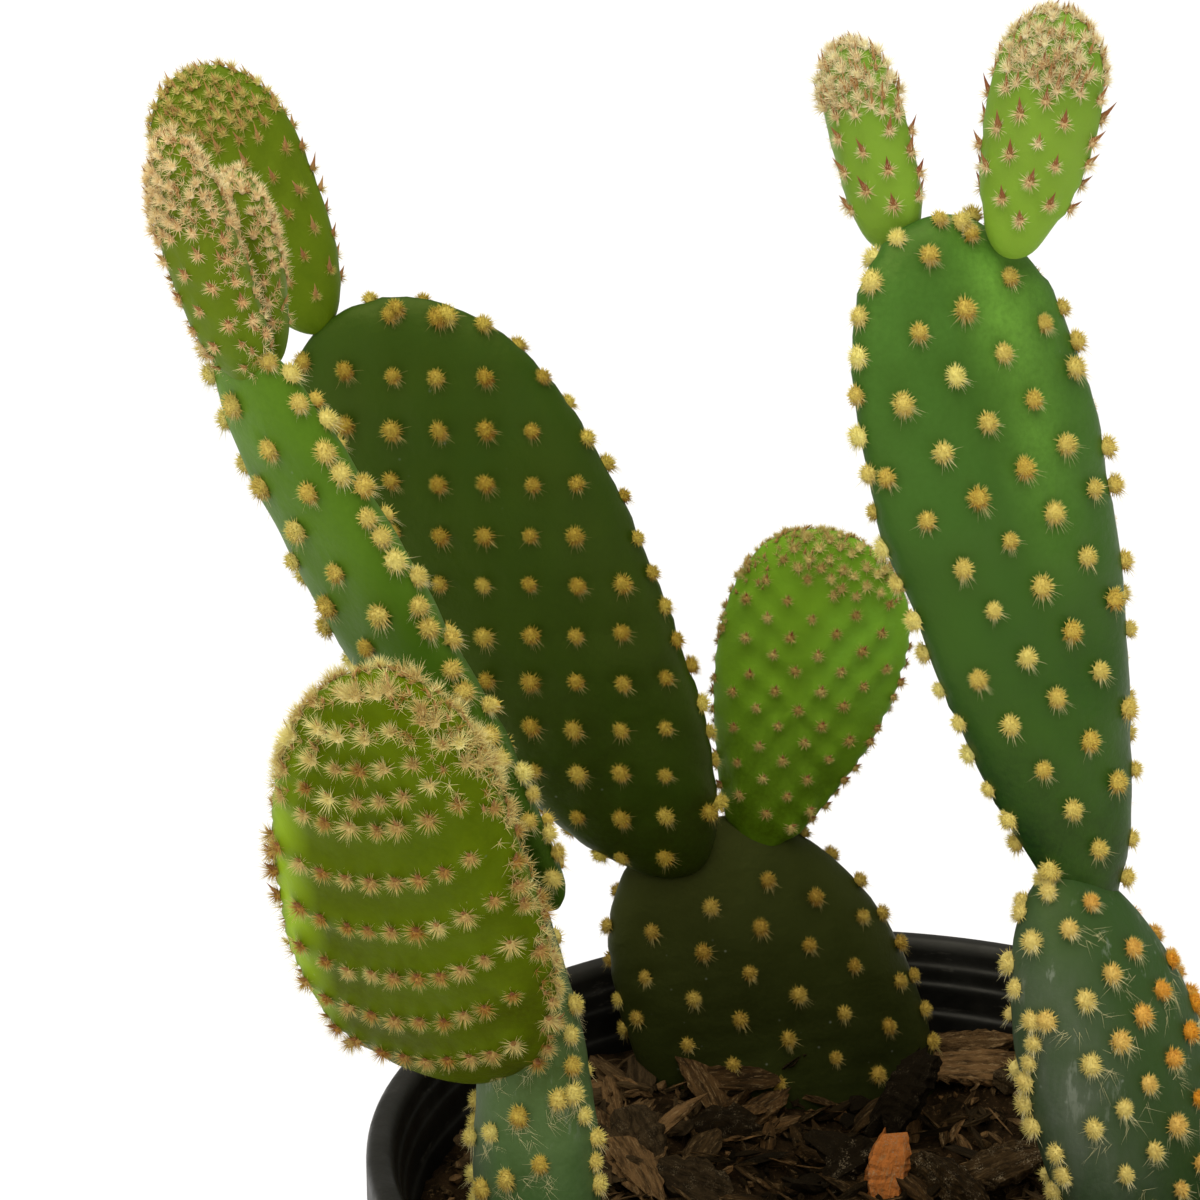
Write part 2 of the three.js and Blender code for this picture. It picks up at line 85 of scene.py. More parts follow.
# Finer pot and mix: corners round each, the bed's rings, edge and underside, and where loose bits end.
POT_SIDES = 160
SHARP_ANGLE = 35
BED_SIDES = 170
BED_RINGS = 40
BED_SUNK = 0.6
BED_EDGE = RIM_RADIUS - 7.2
BED_FOOT = RIM_RADIUS - 9.6
BED_UNDERSIDE = 108.0
BITS_EDGE = RIM_RADIUS - 8.5

# The rim's rounded bead and inner lips, as offsets from its outer top corner.
RIM_OUTSIDE = ((-0.5, -RIM_DROP), (0, 1 - RIM_DROP), (0, -1), (-1, 0), (-3.2, 0))
RIM_INSIDE = ((-4.2, -1.2), (-4.6, -4.2), (-5.2, -4.8), (-5.4, -7.4), (-6, -8), (-6.2, -12.6), (-6.9, -13.2))

# Painted shade on the chips in the middle of the mix and painted light on those at its sides: where the
# shaded middle is from left to right and its half width. Fresh chips get a fixed share of the painted light.
SHADE_X = -3.0
SHADE_REACH = 15.0
FRESH_TONE = 0.88
FRESH_PAINTED_LIGHT = 0.4

# Tuft layout, as in the CAD model.
SECTION = 2.6
SHIFT = 0.7
BARE_EDGE = 2.0
BARE_SHARE = 0.09
BARE_CROWN = 0.9
CROWN_RIM = 0.6
FINE_STEP = 3.7
BARE_FOOT = 3.0
BARE_TIP = 1.0
BARE_JOINT = 5.5
BARE_CHILD = 3.2
CHILD_SHARE = 0.1
BARE_OVER_MIX = 3.0
EDGE_STEPS = 720
EDGE_SHIFT = 0.6

# Finer tufts: bristles and loose hairs of a grown tuft in front and behind, wisps below the tufts,
# bristles of a bunch of wool, bunches for each leaf, and from where bunches are pushed to the edge.
FRONT_BRISTLES = (160, 20)
BACK_BRISTLES = (36, 8)
WISPS = 150
WISP_HAIRS = 4
BUNCH_BRISTLES = 10
BUNCHES_A_LEAF = 5
STEEP_EDGE = 0.9

# Bristles and hairs: range of length, for a tuft of size 1, and range of radius.
GROWN_BRISTLE = ((0.5, 0.98), (0.05, 0.08))
LOOSE_HAIR = ((0.9, 2.3), (0.028, 0.042))
WISP_HAIR = ((1.4, 3.8), (0.016, 0.030))
YOUNG_BRISTLE = ((0.55, 0.95), (0.036, 0.062))
WOOL_BRISTLE = ((0.55, 1.1), (0.040, 0.065))

# Middle of a tuft: rings, corners round it and how far down it reaches, as an angle.
GROWN_DOME = (4, 9, 2.4)
YOUNG_DOME = (3, 7, 2.3)

# Skin: spacing of its corners, the dimple under a grown tuft, the reach of the bump under a young one,
# wider where the rows bow, and the reach of the ring of mottling round a tuft.
GROWN_STEP = 1.5
YOUNG_STEP = 1.3
DIMPLE_DEPTH = 0.25
DIMPLE_REACH = 2.0
BUMP_REACH = 1.5
BOWED_REACH = 2.4
RING_REACH = 2.4

# Low waves of the skin and crumbs of the mix: height, length and seed of each noise.
WAVES = ((0.32, 22, 0), (0.10, 7, 50))
CRUMBS = ((0.7, 6, 5), (0.35, 2.6, 6))

# Turn between neighbours of a sunflower spiral, and a bristle's corners with their place along it.
GOLDEN_TURN = 2.39996
SPIKE_SIDES = 3
SPIKE_TIP = np.array([[0.0, 0.0, 0.0, 1.0]])

# Pads. base is the foot. tilt, lean and yaw turn the pad, in degrees. long, wide and
# thick are its size. taper, full and sweep shape its outline. rows are the steps of its lattice of tufts,
# start and bow the lattice's offset and curve, rim the step along the edge, and crown the share of the
# length above which a young pad's tufts stand closer. tuft is the size of a grown pad's tufts, and
# pale_side how pale those at its left are.
# Young pads have leaf, the length of their leaves, wool and core, the length of their bristles and the
# radius that these stand on, tan, how pale the leaves are, swell, the height of the bump under a tuft,
# bristles for each tuft, and carpet, wool between the tufts: how many bunches, then the limits of s, u
# and distance from the middle.
PAD_DEFAULTS = dict(start=(0.8, 0), bow=0, crown=0.94, pale_side=0, parent=None)
FIRST_SEED = 100
PADS = [
    dict(name="back_basal_pad", base=(1.5, 48, 95.5), tilt=-15.9, lean=4, yaw=5,
         long=79.5, wide=50, thick=14, taper=0.02, full=0.13, sweep=-6.9,
         rows=((-6.2, 5.6), (4.4, 7.2)), rim=6.2, skin="deep", tuft=0.96),
    dict(name="back_tall_pad", base=(-26.3, 47.4, 163), tilt=-31.6, lean=-7, yaw=-6,
         long=112.5, wide=48.6, thick=12, taper=0.33, full=0.14, sweep=3.7,
         rows=((4.2, 7.2), (-6.2, 3.8)), start=(0.8, -2.6), rim=6,
         skin="dark", parent="back_basal_pad", tuft=1.03),
    dict(name="back_tip_pad", base=(-84, 34.3, 257), tilt=-27.4, lean=0, yaw=8,
         long=43.8, wide=20.7, thick=8, taper=0.31, full=0.09, sweep=0.1,
         rows=((3.6, 2.5), (-2.6, 3.7)), rim=3.4, crown=0.7,
         skin="olive", parent="back_tall_pad",
         leaf=2.2, wool=1.35, core=0.34, tan=0.5, swell=0.35, bristles=48, carpet=((230, 0.5, -1, 1, 0.0),)),
    dict(name="back_small_pad", base=(-16.2, 52, 164.4), tilt=15.2, lean=-3, yaw=-10,
         long=57.8, wide=29.9, thick=8, taper=0.42, full=0.06, sweep=-1.7,
         rows=((2.4, 4.1), (-4.5, 1.6)), rim=2.8, crown=0.86,
         skin="leafy", parent="back_basal_pad",
         leaf=1.3, wool=1.15, core=0.58, tan=0.1, swell=0.75, bristles=68,
         carpet=((230, 0.2, -1, 0.6, 0.92), (60, 0.78, -1, 1, 0.0), (70, 0.5, -0.8, 0.1, 0.8))),
    dict(name="left_basal_pad", base=(-49.9, -20, 102.2), tilt=-2.5, lean=3, yaw=-38,
         long=83.2, wide=21.1, thick=13, taper=-0.17, full=-0.07, sweep=1.4,
         rows=((-3.2, 6.8), (5.2, 3.2)), rim=3.7, crown=1,
         skin="grey_left", tuft=1.1, pale_side=0.3),
    dict(name="left_tall_pad", base=(-48.8, -16.8, 183.1), tilt=-28.5, lean=-2, yaw=-48,
         long=96, wide=22.2, thick=9.5, taper=0.03, full=0.29, sweep=5.1,
         rows=((6.4, 4.2), (-3.8, 7.2)), rim=3.4,
         skin="mid_left", parent="left_basal_pad", tuft=1.1, pale_side=0.2),
    dict(name="left_tip_pad", base=(-87.3, -25, 260.7), tilt=-20.3, lean=-8, yaw=-45,
         long=34.7, wide=12.4, thick=8, taper=-0.15, full=0.22, sweep=4.7,
         rows=((3.2, 2.6), (-3.2, 2.4)), rim=2.6, crown=0.62,
         skin="woolly", parent="left_tall_pad",
         leaf=1.5, wool=1.3, core=0.42, tan=0.3, swell=0.3, bristles=54,
         carpet=((250, 0.35, -1, 1, 0.0), (190, -0.9, -1, -0.2, 0.7), (90, -0.9, 0.3, 1, 0.85))),
    dict(name="left_rear_tip_pad", base=(-86, -17, 261.5), tilt=-10, lean=5, yaw=-65,
         long=26, wide=14, thick=7, taper=0.1, full=0.2, sweep=0,
         rows=((3.2, 2.6), (-3.2, 2.4)), rim=2.6, crown=0.45,
         skin="woolly", parent="left_tall_pad",
         leaf=1.3, wool=1.3, core=0.42, tan=0.3, swell=0.3, bristles=44,
         carpet=((230, 0.1, -1, 1, 0.0), (50, -0.6, 0.5, 1, 0.8), (60, -0.6, -1, -0.5, 0.8))),
    dict(name="left_front_pad", base=(-62, -17.7, 157.1), tilt=-13.5, lean=-24, yaw=-22,
         long=80.3, wide=37.3, thick=12, taper=-0.2, full=0.22, sweep=10.2,
         rows=((3.4, 0.4), (1.7, 9.9)), bow=0.018, rim=3.4, crown=0.76,
         skin="front", parent="left_basal_pad",
         leaf=1.9, wool=1.95, core=0.66, tan=0.25, swell=1.1, bristles=96,
         carpet=((260, 0.5, -1, 1, 0.86), (110, -0.7, -1, -0.5, 0.93), (130, -0.7, 0.5, 1, 0.93))),
    dict(name="right_basal_pad", base=(47.3, -18, 113), tilt=-17, lean=3, yaw=32,
         long=79, wide=31.5, thick=18, taper=0, full=0, sweep=-1.8,
         rows=((5, 1.6), (-2.4, 7.8)), rim=3.4,
         skin="grey_right", tuft=1.08, pale_side=0.75),
    dict(name="right_tall_pad", base=(29.9, -13, 179), tilt=-14.8, lean=2, yaw=18,
         long=105.4, wide=34.9, thick=12, taper=0.41, full=0.12, sweep=-1.2,
         rows=((-3, 7.4), (7.4, 1.5)), rim=5.2,
         skin="mid_right", parent="right_basal_pad", tuft=1.07, pale_side=0.25),
    dict(name="right_tip_pad_a", base=(-1.2, -6.5, 275), tilt=-14.1, lean=3, yaw=-35,
         long=28.8, wide=10.9, thick=8, taper=0.05, full=0.39, sweep=-1,
         rows=((3.4, 2.2), (-2.8, 2.8)), rim=2.8, crown=0.66,
         skin="tips", parent="right_tall_pad",
         leaf=2.3, wool=1.5, core=0.46, tan=0.1, swell=0.45, bristles=58, carpet=((290, 0.45, -1, 1, 0.0),)),
    dict(name="right_tip_pad_b", base=(13.4, -11.4, 275.4), tilt=10.7, lean=-4, yaw=-20,
         long=32.4, wide=14.6, thick=8, taper=0.17, full=0.11, sweep=-1.2,
         rows=((2.8, 2.7), (-2.8, 2.7)), rim=3, crown=0.7,
         skin="tips", parent="right_tall_pad",
         leaf=2.3, wool=1.5, core=0.46, tan=0.1, swell=0.45, bristles=58, carpet=((350, 0.48, -1, 1, 0.0),)),
]

# Skins in linear light: upper, lower and mottle colours, a darker lower colour being partly the skin's own
# and partly painted shade, the painted highlight on the right upper side, margin along the left edge, rough
# and shine, flesh, the share of light that passes under the skin, around, how much mottle shows round a tuft,
# and faded, how much of the painted highlight is left at the right edge.
# tufts and hairs name the looks of what grows on the skin, and slot its class.
SKIN_DEFAULTS = dict(slot="young_skin", margin=None, rough=0.5, flesh=0.08, shine=0.3, around=0.4, faded=1.0)
SKINS = {
    "mid_right": dict(slot="mid_skin", tufts="tufts_golden", hairs="hairs_cream",
                      upper=(0.058, 0.162, 0.021), lower=(0.0030, 0.019, 0.005), mottle=(0.028, 0.088, 0.009),
                      painted_highlight=(0.17, 0.39, 0.047), faded=0.1, rough=0.45, flesh=0.05),
    "mid_left": dict(slot="mid_skin", tufts="tufts_golden", hairs="hairs_cream",
                     upper=(0.116, 0.245, 0.016), lower=(0.012, 0.032, 0.001), mottle=(0.062, 0.140, 0.009),
                     painted_highlight=(0.100, 0.21, 0.014), rough=0.48, flesh=0.05, shine=0.14),
    # The back pads' dark and deep skins are darker partly by their own colour and partly by painted shade.
    "dark": dict(slot="dark_skin", tufts="tufts_dusky_shaded", hairs="hairs_straw",
                 upper=(0.025, 0.063, 0.004), lower=(0.017, 0.027, 0.001), mottle=(0.030, 0.062, 0.003),
                 painted_highlight=(0.025, 0.065, 0.005), flesh=0.03),
    "deep": dict(slot="dark_skin", tufts="tufts_shaded", hairs="hairs_straw",
                 upper=(0.018, 0.023, 0.003), lower=(0.002, 0.004, 0.001), mottle=(0.021, 0.028, 0.005),
                 painted_highlight=(0.017, 0.024, 0.003), rough=0.55, flesh=0.0),
    "grey_right": dict(slot="grey_skin", tufts="tufts_orange", hairs="hairs_cream",
                       upper=(0.018, 0.057, 0.012), lower=(0.012, 0.033, 0.010), mottle=(0.029, 0.063, 0.019),
                       painted_highlight=(0.022, 0.066, 0.013), rough=0.6, flesh=0.02),
    "grey_left": dict(slot="grey_skin", tufts="tufts_golden", hairs="hairs_cream",
                      upper=(0.042, 0.070, 0.015), lower=(0.060, 0.150, 0.045), mottle=(0.10, 0.17, 0.065),
                      painted_highlight=(0.042, 0.070, 0.015), rough=0.6, flesh=0.02),
    "leafy": dict(upper=(0.16, 0.33, 0.022), lower=(0.056, 0.100, 0.001), mottle=(0.14, 0.28, 0.012),
                  painted_highlight=(0.17, 0.38, 0.032), shine=0.15, tufts="wool_brown"),
    "front": dict(upper=(0.080, 0.122, 0.001), lower=(0.062, 0.074, 0.003), mottle=(0.108, 0.160, 0.002),
                  painted_highlight=(0.070, 0.11, 0.001), margin=(0.31, 0.48, 0.012), shine=0.06, around=0.8,
                  tufts="wool_olive"),
    "tips": dict(upper=(0.17, 0.26, 0.042), lower=(0.22, 0.39, 0.034), mottle=(0.19, 0.34, 0.030),
                 painted_highlight=(0.13, 0.25, 0.022), shine=0.2, tufts="wool_pale"),
    "olive": dict(upper=(0.12, 0.16, 0.008), lower=(0.080, 0.14, 0.003), mottle=(0.13, 0.20, 0.007),
                  painted_highlight=(0.080, 0.14, 0.004), shine=0.15, tufts="wool_tan"),
    "woolly": dict(upper=(0.14, 0.18, 0.010), lower=(0.10, 0.17, 0.006), mottle=(0.15, 0.22, 0.010),
                   painted_highlight=(0.10, 0.16, 0.008), shine=0.1, tufts="wool_blush"),
}
SCAR = (0.30, 0.33, 0.27)
BLOOM = (0.088, 0.108, 0.080)

# Bristles, hairs and wool: colours at the root, along the body, at the tip and on the lower side, the last
# partly painted shade.
TUFT_COLOURS = {
    "tufts_golden": ((0.48, 0.32, 0.050), (0.72, 0.58, 0.105), (0.84, 0.78, 0.27), (0.38, 0.21, 0.030)),
    # The next two are the back pads' tufts, darker than the golden ones partly by their own browner colour
    # and partly by painted shade.
    "tufts_dusky_shaded": ((0.35, 0.21, 0.022), (0.52, 0.41, 0.048), (0.76, 0.66, 0.14), (0.28, 0.12, 0.010)),
    "tufts_shaded": ((0.29, 0.16, 0.020), (0.46, 0.32, 0.042), (0.62, 0.50, 0.11), (0.21, 0.10, 0.011)),
    "tufts_orange": ((0.58, 0.21, 0.012), (0.76, 0.38, 0.024), (0.66, 0.60, 0.20), (0.48, 0.19, 0.014)),
    "hairs_cream": ((0.50, 0.40, 0.13), (0.68, 0.58, 0.25), (0.82, 0.75, 0.42), (0.40, 0.27, 0.10)),
    "hairs_straw": ((0.32, 0.22, 0.05), (0.46, 0.36, 0.11), (0.62, 0.52, 0.20), (0.24, 0.14, 0.03)),
    "wool_tan": ((0.34, 0.17, 0.03), (0.58, 0.46, 0.11), (0.84, 0.76, 0.26), (0.30, 0.15, 0.03)),
    "wool_brown": ((0.24, 0.12, 0.025), (0.50, 0.38, 0.10), (0.76, 0.68, 0.25), (0.30, 0.16, 0.033)),
    "wool_olive": ((0.36, 0.13, 0.022), (0.52, 0.36, 0.072), (0.98, 0.93, 0.42), (0.36, 0.14, 0.026)),
    "wool_pale": ((0.54, 0.29, 0.11), (0.88, 0.74, 0.38), (0.98, 0.94, 0.62), (0.46, 0.25, 0.09)),
    "wool_blush": ((0.58, 0.30, 0.11), (0.90, 0.69, 0.32), (0.97, 0.86, 0.51), (0.50, 0.26, 0.10)),
}

# Tint of the mix's weak shine, its darkest brown, and the pale cool colour of the floor.
BROWN_SHINE = (1.0, 0.82, 0.55)
DARK_BARK = (0.006, 0.004, 0.002)
PAPER = (0.88, 0.90, 0.96)

# Loose bits of the mix: how many, then ranges of length, of width for each unit of length and of thickness
# for each unit of width, rings and corners, range of height over the mix, tilt, tones, crust and raggedness.
TONES = (0.03, 0.1, 0.18, 0.3, 0.42, 0.5, 0.62, 0.78)
LOOSE_BITS = [
    (1000, (0.9, 2.6), (0.4, 0.9), (0.5, 0.9), 3, 4, (-0.4, 0.9), 0.6, TONES, 0.0, 0.1),
    (650, (2.5, 7.0), (0.12, 0.3), (0.4, 0.9), 4, 4, (-0.2, 1.5), 0.4, TONES, 0.0, 0.1),
    (290, (5.0, 11.0), (0.28, 0.6), (0.25, 0.5), 6, 7, (-0.2, 1.8), 0.38, TONES, 0.1, 0.14),
    (46, (11.0, 20.0), (0.3, 0.52), (0.2, 0.36), 14, 10, (0.6, 2.4), 0.26, TONES, 0.1, 0.13),
    (22, (6.0, 11.0), (0.6, 0.8), (0.6, 0.9), 10, 10, (0.2, 2.4), 0.5, (0.02, 0.1, 0.3), 0.35, 0.16),
    (150, (6.0, 15.0), (0.03, 0.06), (0.6, 1.0), 6, 3, (0.8, 2.8), 0.25, (0.45, 0.6, 0.75), 0.0, 0.1),
]

# Chips that stand out in the photograph: size, place, turns, tone and crust.
NOTED_CHIPS = [
    ((11.5, 6.6, 5.6), (3.4, 8.6, 128.0), (1.05, -1.05, 0.3), 0.97, 0.8),
    ((15.0, 7.0, 6.0), (8.9, 32.3, 129.5), (0.85, -0.60, 0.4), 0.02, 0.2),
    ((17.0, 2.4, 2.0), (-31.4, 20.6, 129.6), (0.76, -0.30, 0.2), 0.78, 0.2),
    ((12.0, 3.4, 2.4), (-37.8, 25.5, 127.6), (0.9, -0.25, 0.5), 0.62, 0.2),
    ((15.0, 8.0, 2.4), (-36.5, 10.5, 127.6), (1.9, -0.2, 0.25), 0.80, 0.1),
    ((15.0, 5.0, 3.0), (23.2, 55.0, 127.6), (0.1, -0.05, 0.9), 0.62, 0.1),
    ((15.0, 6.5, 2.6), (22.8, 48.0, 126.2), (2.9, 0.08, -0.5), 0.74, 0.1),
    ((16.0, 6.5, 5.0), (21.7, 9.0, 128.0), (0.35, -0.2, 0.5), 0.34, 1.0),
    ((12.0, 6.0, 5.0), (13.2, 4.0, 128.0), (2.3, -0.3, 0.3), 0.28, 1.0),
    ((10.0, 5.0, 3.6), (-2.5, 11.5, 127.5), (0.7, -0.5, 0.2), 0.05, 0.9),
]


# Camera, made first

def camera():
    """The camera that took the photograph."""
    data = bpy.data.cameras.new("photo_camera")
    data.sensor_width = SENSOR
    data.lens = FOCAL_PIXELS / IMAGE_PIXELS * SENSOR
    data.clip_start = 0.01
    data.clip_end = 50
    eye = bpy.data.objects.new("photo_camera", data)
    eye.location = [v * MM for v in CAMERA_PLACE]
    eye.rotation_euler = (math.radians(90 - CAMERA_PITCH), 0, 0)
    bpy.context.scene.collection.objects.link(eye)
    bpy.context.scene.camera = eye


camera()


# Seeded draws and small vector helpers

def seeded(seed):
    """Random numbers from 0 to 1, the same draws as the CAD source makes."""
    mask = 0xFFFFFFFF
    state = seed & mask

    def draw():
        nonlocal state
        state = (state + 0x6D2B79F5) & mask
        v = state
        v = ((v ^ (v >> 15)) * (v | 1)) & mask
        v ^= (v + ((v ^ (v >> 7)) * (v | 61))) & mask
        return ((v ^ (v >> 14)) & mask) / 4294967296.0

    return draw


def unit(v):
    return v / np.maximum(np.linalg.norm(v, axis=-1, keepdims=True), 1e-12)


def smooth_noise(points, scale, seed):
    """Smooth noise from about -1 to 1 at points, built from a few crossed waves."""
    rng = np.random.default_rng(seed)
    total = np.zeros(len(points))
    for _ in range(6):
        direction = unit(rng.normal(size=3))
        wave = rng.uniform(0.6, 1.7) / scale
        total += np.sin(points @ direction * wave * 2 * math.pi + rng.uniform(0, 2 * math.pi))
    return total / 3.0


def ripples(points, waves, seed=0):
    """Noises added up, each with its height, length and own seed."""
    return sum(height * smooth_noise(points, length, seed + own) for height, length, own in waves)


# Level of the potting mix, as in the CAD model

def soil_level(x, y):
    """Uneven top of the mix, with a hollow in front of the back pad."""
    waves = 1.5 * np.sin(x * 0.11 + 1) * np.cos(y * 0.09) + 0.8 * np.sin(x * 0.31 - y * 0.27)
    away = ((x - HOLLOW_X) ** 2 + (y - HOLLOW_Y) ** 2) / HOLLOW_REACH ** 2
    return SOIL_TOP + waves - HOLLOW_DEPTH * np.exp(-away)


# Pad geometry, as in the CAD model

def pad_axes(pad):
    """Unit vectors along the pad, across it and out of its face."""
    tilt, lean, yaw = (math.radians(pad[k]) for k in ("tilt", "lean", "yaw"))
    axis = np.array([math.sin(tilt) * math.cos(lean), math.sin(lean), math.cos(tilt) * math.cos(lean)])
    front = np.array([0.0, -1.0, 0.0])
    front = unit(front - (front @ axis) * axis)
    side = np.cross(axis, front)
    face = math.cos(yaw) * front + math.sin(yaw) * side
    return axis, np.cross(axis, face), face


def outline(pad, s):
    """How much wider or narrower than an ellipse the pad is at s, from -1 at its foot to 1 at its tip."""
    return 1 + pad["taper"] * s + pad["full"] * s * s


def half_width(pad):
    """The outline's scale that gives the pad its full width."""
    s = np.arange(-1, 1.0001, 0.01)
    return pad["wide"] / 2 / np.max(np.sqrt(np.maximum(0, 1 - s * s)) * outline(pad, s))


def pad_surface(pad, u, s, sign):
    """Points and outward normals of the skin for (u, s) in the unit disc."""
    u, s, sign = np.broadcast_arrays(np.float64(u), np.float64(s), np.float64(sign))
    rho = np.minimum(1, np.hypot(u, s))
    width = pad["half"] * outline(pad, s)
    rise = np.sqrt(np.maximum(0, 1 - rho ** SECTION))
    slope = SECTION * np.maximum(rho, 1e-4) ** (SECTION - 2)
    bend = (pad["taper"] + 2 * pad["full"] * s) / outline(pad, s)
    local = unit(np.stack([
        slope * u / width,
        slope * (s - u * u * bend) * 2 / pad["long"],
        4 * sign * rise / pad["thick"],
    ], -1))
    t = (s + 1) / 2
    x = width * u + pad["sweep"] * t * t
    y = pad["long"] * t
    z = sign * pad["thick"] * rise / 2
    axis, across, face = pad["axes"]
    point = np.array(pad["base"], float) + x[..., None] * across + y[..., None] * axis + z[..., None] * face
    normal = local[..., :1] * across + local[..., 1:2] * axis + local[..., 2:] * face
    return point, normal


def face_sites(pad, sign, draw):
    """Tufts on one face: a slanted lattice in half steps, used only above a young pad's crown."""
    sites = []
    (ax, ay), (bx, by) = pad["rows"]
    reach = math.ceil(4 * pad["long"] / min(math.hypot(ax, ay), math.hypot(bx, by)))
    fine = math.hypot(ax, ay) < FINE_STEP
    for i in range(-reach, reach + 1):
        for j in range(-reach, reach + 1):
            between = i % 2 or j % 2
            across = (i * ax + j * bx) / 2
            along = (i * ay + j * by) / 2 + pad["bow"] * across * across
            x = sign * (across + pad["start"][0]) + (draw() - 0.5) * SHIFT
            y = pad["long"] / 2 + along + pad["start"][1] + (draw() - 0.5) * SHIFT
            crowned = "leaf" in pad and y > pad["crown"] * pad["long"]
            if y < BARE_FOOT or y > pad["long"] - BARE_TIP:
                continue
            if between and (not crowned or (fine and i % 2)):
                continue
            s = 2 * y / pad["long"] - 1
            u = x / (pad["half"] * outline(pad, s))
            rho = math.hypot(u, s)
            inside = (1 - rho) * math.hypot(x, s * pad["long"] / 2) / rho
            if inside > (BARE_CROWN if crowned else min(BARE_EDGE, pad["wide"] * BARE_SHARE)):
                sites.append((u, s, sign))
    return sites


def rim_sites(pad, draw):
    """Tufts along the edge, evenly spaced and closer above the crown."""
    sites = []
    angles = -math.pi / 2 + 2 * math.pi * np.arange(EDGE_STEPS) / EDGE_STEPS
    path, _ = pad_surface(pad, np.cos(angles), np.sin(angles), 1)
    travelled = pad["rim"] / 2
    for i in range(1, EDGE_STEPS):
        travelled += np.linalg.norm(path[i] - path[i - 1])
        height = (math.sin(angles[i]) + 1) / 2
        if travelled >= pad["rim"] * (CROWN_RIM if height > pad["crown"] else 1):
            travelled = (draw() - 0.5) * EDGE_SHIFT
            sites.append((math.cos(angles[i]), math.sin(angles[i]), 0))
    return sites


def open_sites(pad, sites):
    """Sites clear of the soil, of the pad's own foot and of the pads that grow from it."""
    kept = []
    children = [other for other in PADS if other["parent"] == pad["name"]]
    for u, s, sign in sites:
        point, _ = pad_surface(pad, u, s, sign or 1)
        if point[2] < soil_level(point[0], point[1]) + BARE_OVER_MIX:
            continue
        if pad["parent"] and (s + 1) * pad["long"] < 2 * BARE_JOINT:
            continue
        clear = True
        for child in children:
            foot = np.array(child["base"], float) + 2 * child["axes"][0]
            if np.linalg.norm(foot - point) <= child["wide"] * CHILD_SHARE + BARE_CHILD:
                clear = False
        if clear:
            kept.append((u, s, sign))
    return np.array(kept)


def pad_sites(pad):
    """All tufts of a pad as rows of u, s and side: 1 in front, -1 behind, 0 on the edge."""
    draw = seeded(pad["seed"])
    sites = face_sites(pad, 1, draw) + face_sites(pad, -1, draw) + rim_sites(pad, draw)
    return open_sites(pad, sites)


# Mesh helpers

def add_mesh(name, points, faces, material, values, smooth=True):
    """A mesh object in metres from millimetre points, with named numbers or vectors on its points."""
    mesh = bpy.data.meshes.new(name)
    mesh.from_pydata((np.asarray(points) * MM).tolist(), [], np.asarray(faces).tolist())
    mesh.polygons.foreach_set("use_smooth", np.full(len(mesh.polygons), smooth))
    for key, value in values.items():
        value = np.asarray(value, dtype=np.float32)
        kind, field = ("FLOAT", "value") if value.ndim == 1 else ("FLOAT_VECTOR", "vector")
        mesh.attributes.new(key, kind, "POINT").data.foreach_set(field, value.ravel())
    mesh.materials.append(material)
    mesh.update()
    piece = bpy.data.objects.new(name, mesh)
    bpy.context.scene.collection.objects.link(piece)
    return piece


class Pile:
    """Gathers many small closed solids, with named values on their corners, into one mesh."""

    def __init__(self, *keys):
        self.points = []
        self.faces = []
        self.values = {key: [] for key in keys}
        self.count = 0

    def add(self, points, faces, **values):
        """points is (n, k, 3): n copies with k corners. faces is (m, 3) for one copy."""
        n, k, _ = points.shape
        offsets = self.count + np.arange(n)[:, None, None] * k
        self.points.append(points.reshape(-1, 3))
        self.faces.append((offsets + np.asarray(faces)[None]).reshape(-1, 3))
        for key, value in values.items():
            if key != "grain":
                value = np.broadcast_to(value, (n, k)).reshape(-1)
            self.values[key].append(value)
        self.count += n * k

    def build(self, name, material, smooth=False):
        values = {key: np.concatenate(store) for key, store in self.values.items()}
        points = np.concatenate(self.points)
        return add_mesh(name, points, np.concatenate(self.faces), material, values, smooth)


def circle(sides, start=0.0):
    """Evenly spaced places on the unit circle."""
    angles = 2 * math.pi * np.arange(sides) / sides + start
    return np.stack([np.cos(angles), np.sin(angles)], 1)


def fan(centre, first, sides):
    """Triangles from a centre to the ring of corners that starts at first."""
    return [(centre, first + i, first + (i + 1) % sides) for i in range(sides)]


def band(low, high, sides):
    """Triangles between the rings that start at corners low and high."""
    faces = []
    for i in range(sides):
        j = (i + 1) % sides
        faces += [(low + i, low + j, high + j), (low + i, high + j, high + i)]
    return faces


def bands(first, sides, rings):
    """Triangles between neighbours of the rings that start at corner first."""
    starts = [first + ring * sides for ring in range(rings)]
    return [face for low, high in zip(starts, starts[1:]) for face in band(low, high, sides)]


def cap(first, sides):
    """Triangles across the ring that starts at corner first, facing backwards."""
    return [(first, first + i + 1, first + i) for i in range(1, sides - 1)]


def flipped(faces):
    """The same faces, turned to the other side."""
    return [face[::-1] for face in faces]


def rings_about(centre, direction, radius, sides):
    """A ring of corners about each centre, square to its direction: (n, sides, 3)."""
    helper = np.where(np.abs(direction[..., 2:3]) < 0.8, [0.0, 0.0, 1.0], [1.0, 0.0, 0.0])
    first = unit(np.cross(direction, helper))
    second = np.cross(direction, first)
    ring = circle(sides)[None]
    spokes = ring[..., :1] * first[:, None] + ring[..., 1:] * second[:, None]
    return centre[:, None] + radius[:, None, None] * spokes


def spikes(root, direction, length, radius):
    """Thin closed pyramids: their corners and the faces of one."""
    ring = rings_about(root, direction, radius, SPIKE_SIDES)
    tip = root + direction * length[:, None]
    faces = fan(SPIKE_SIDES, 0, SPIKE_SIDES) + cap(0, SPIKE_SIDES)
    return np.concatenate([ring, tip[:, None]], 1), faces


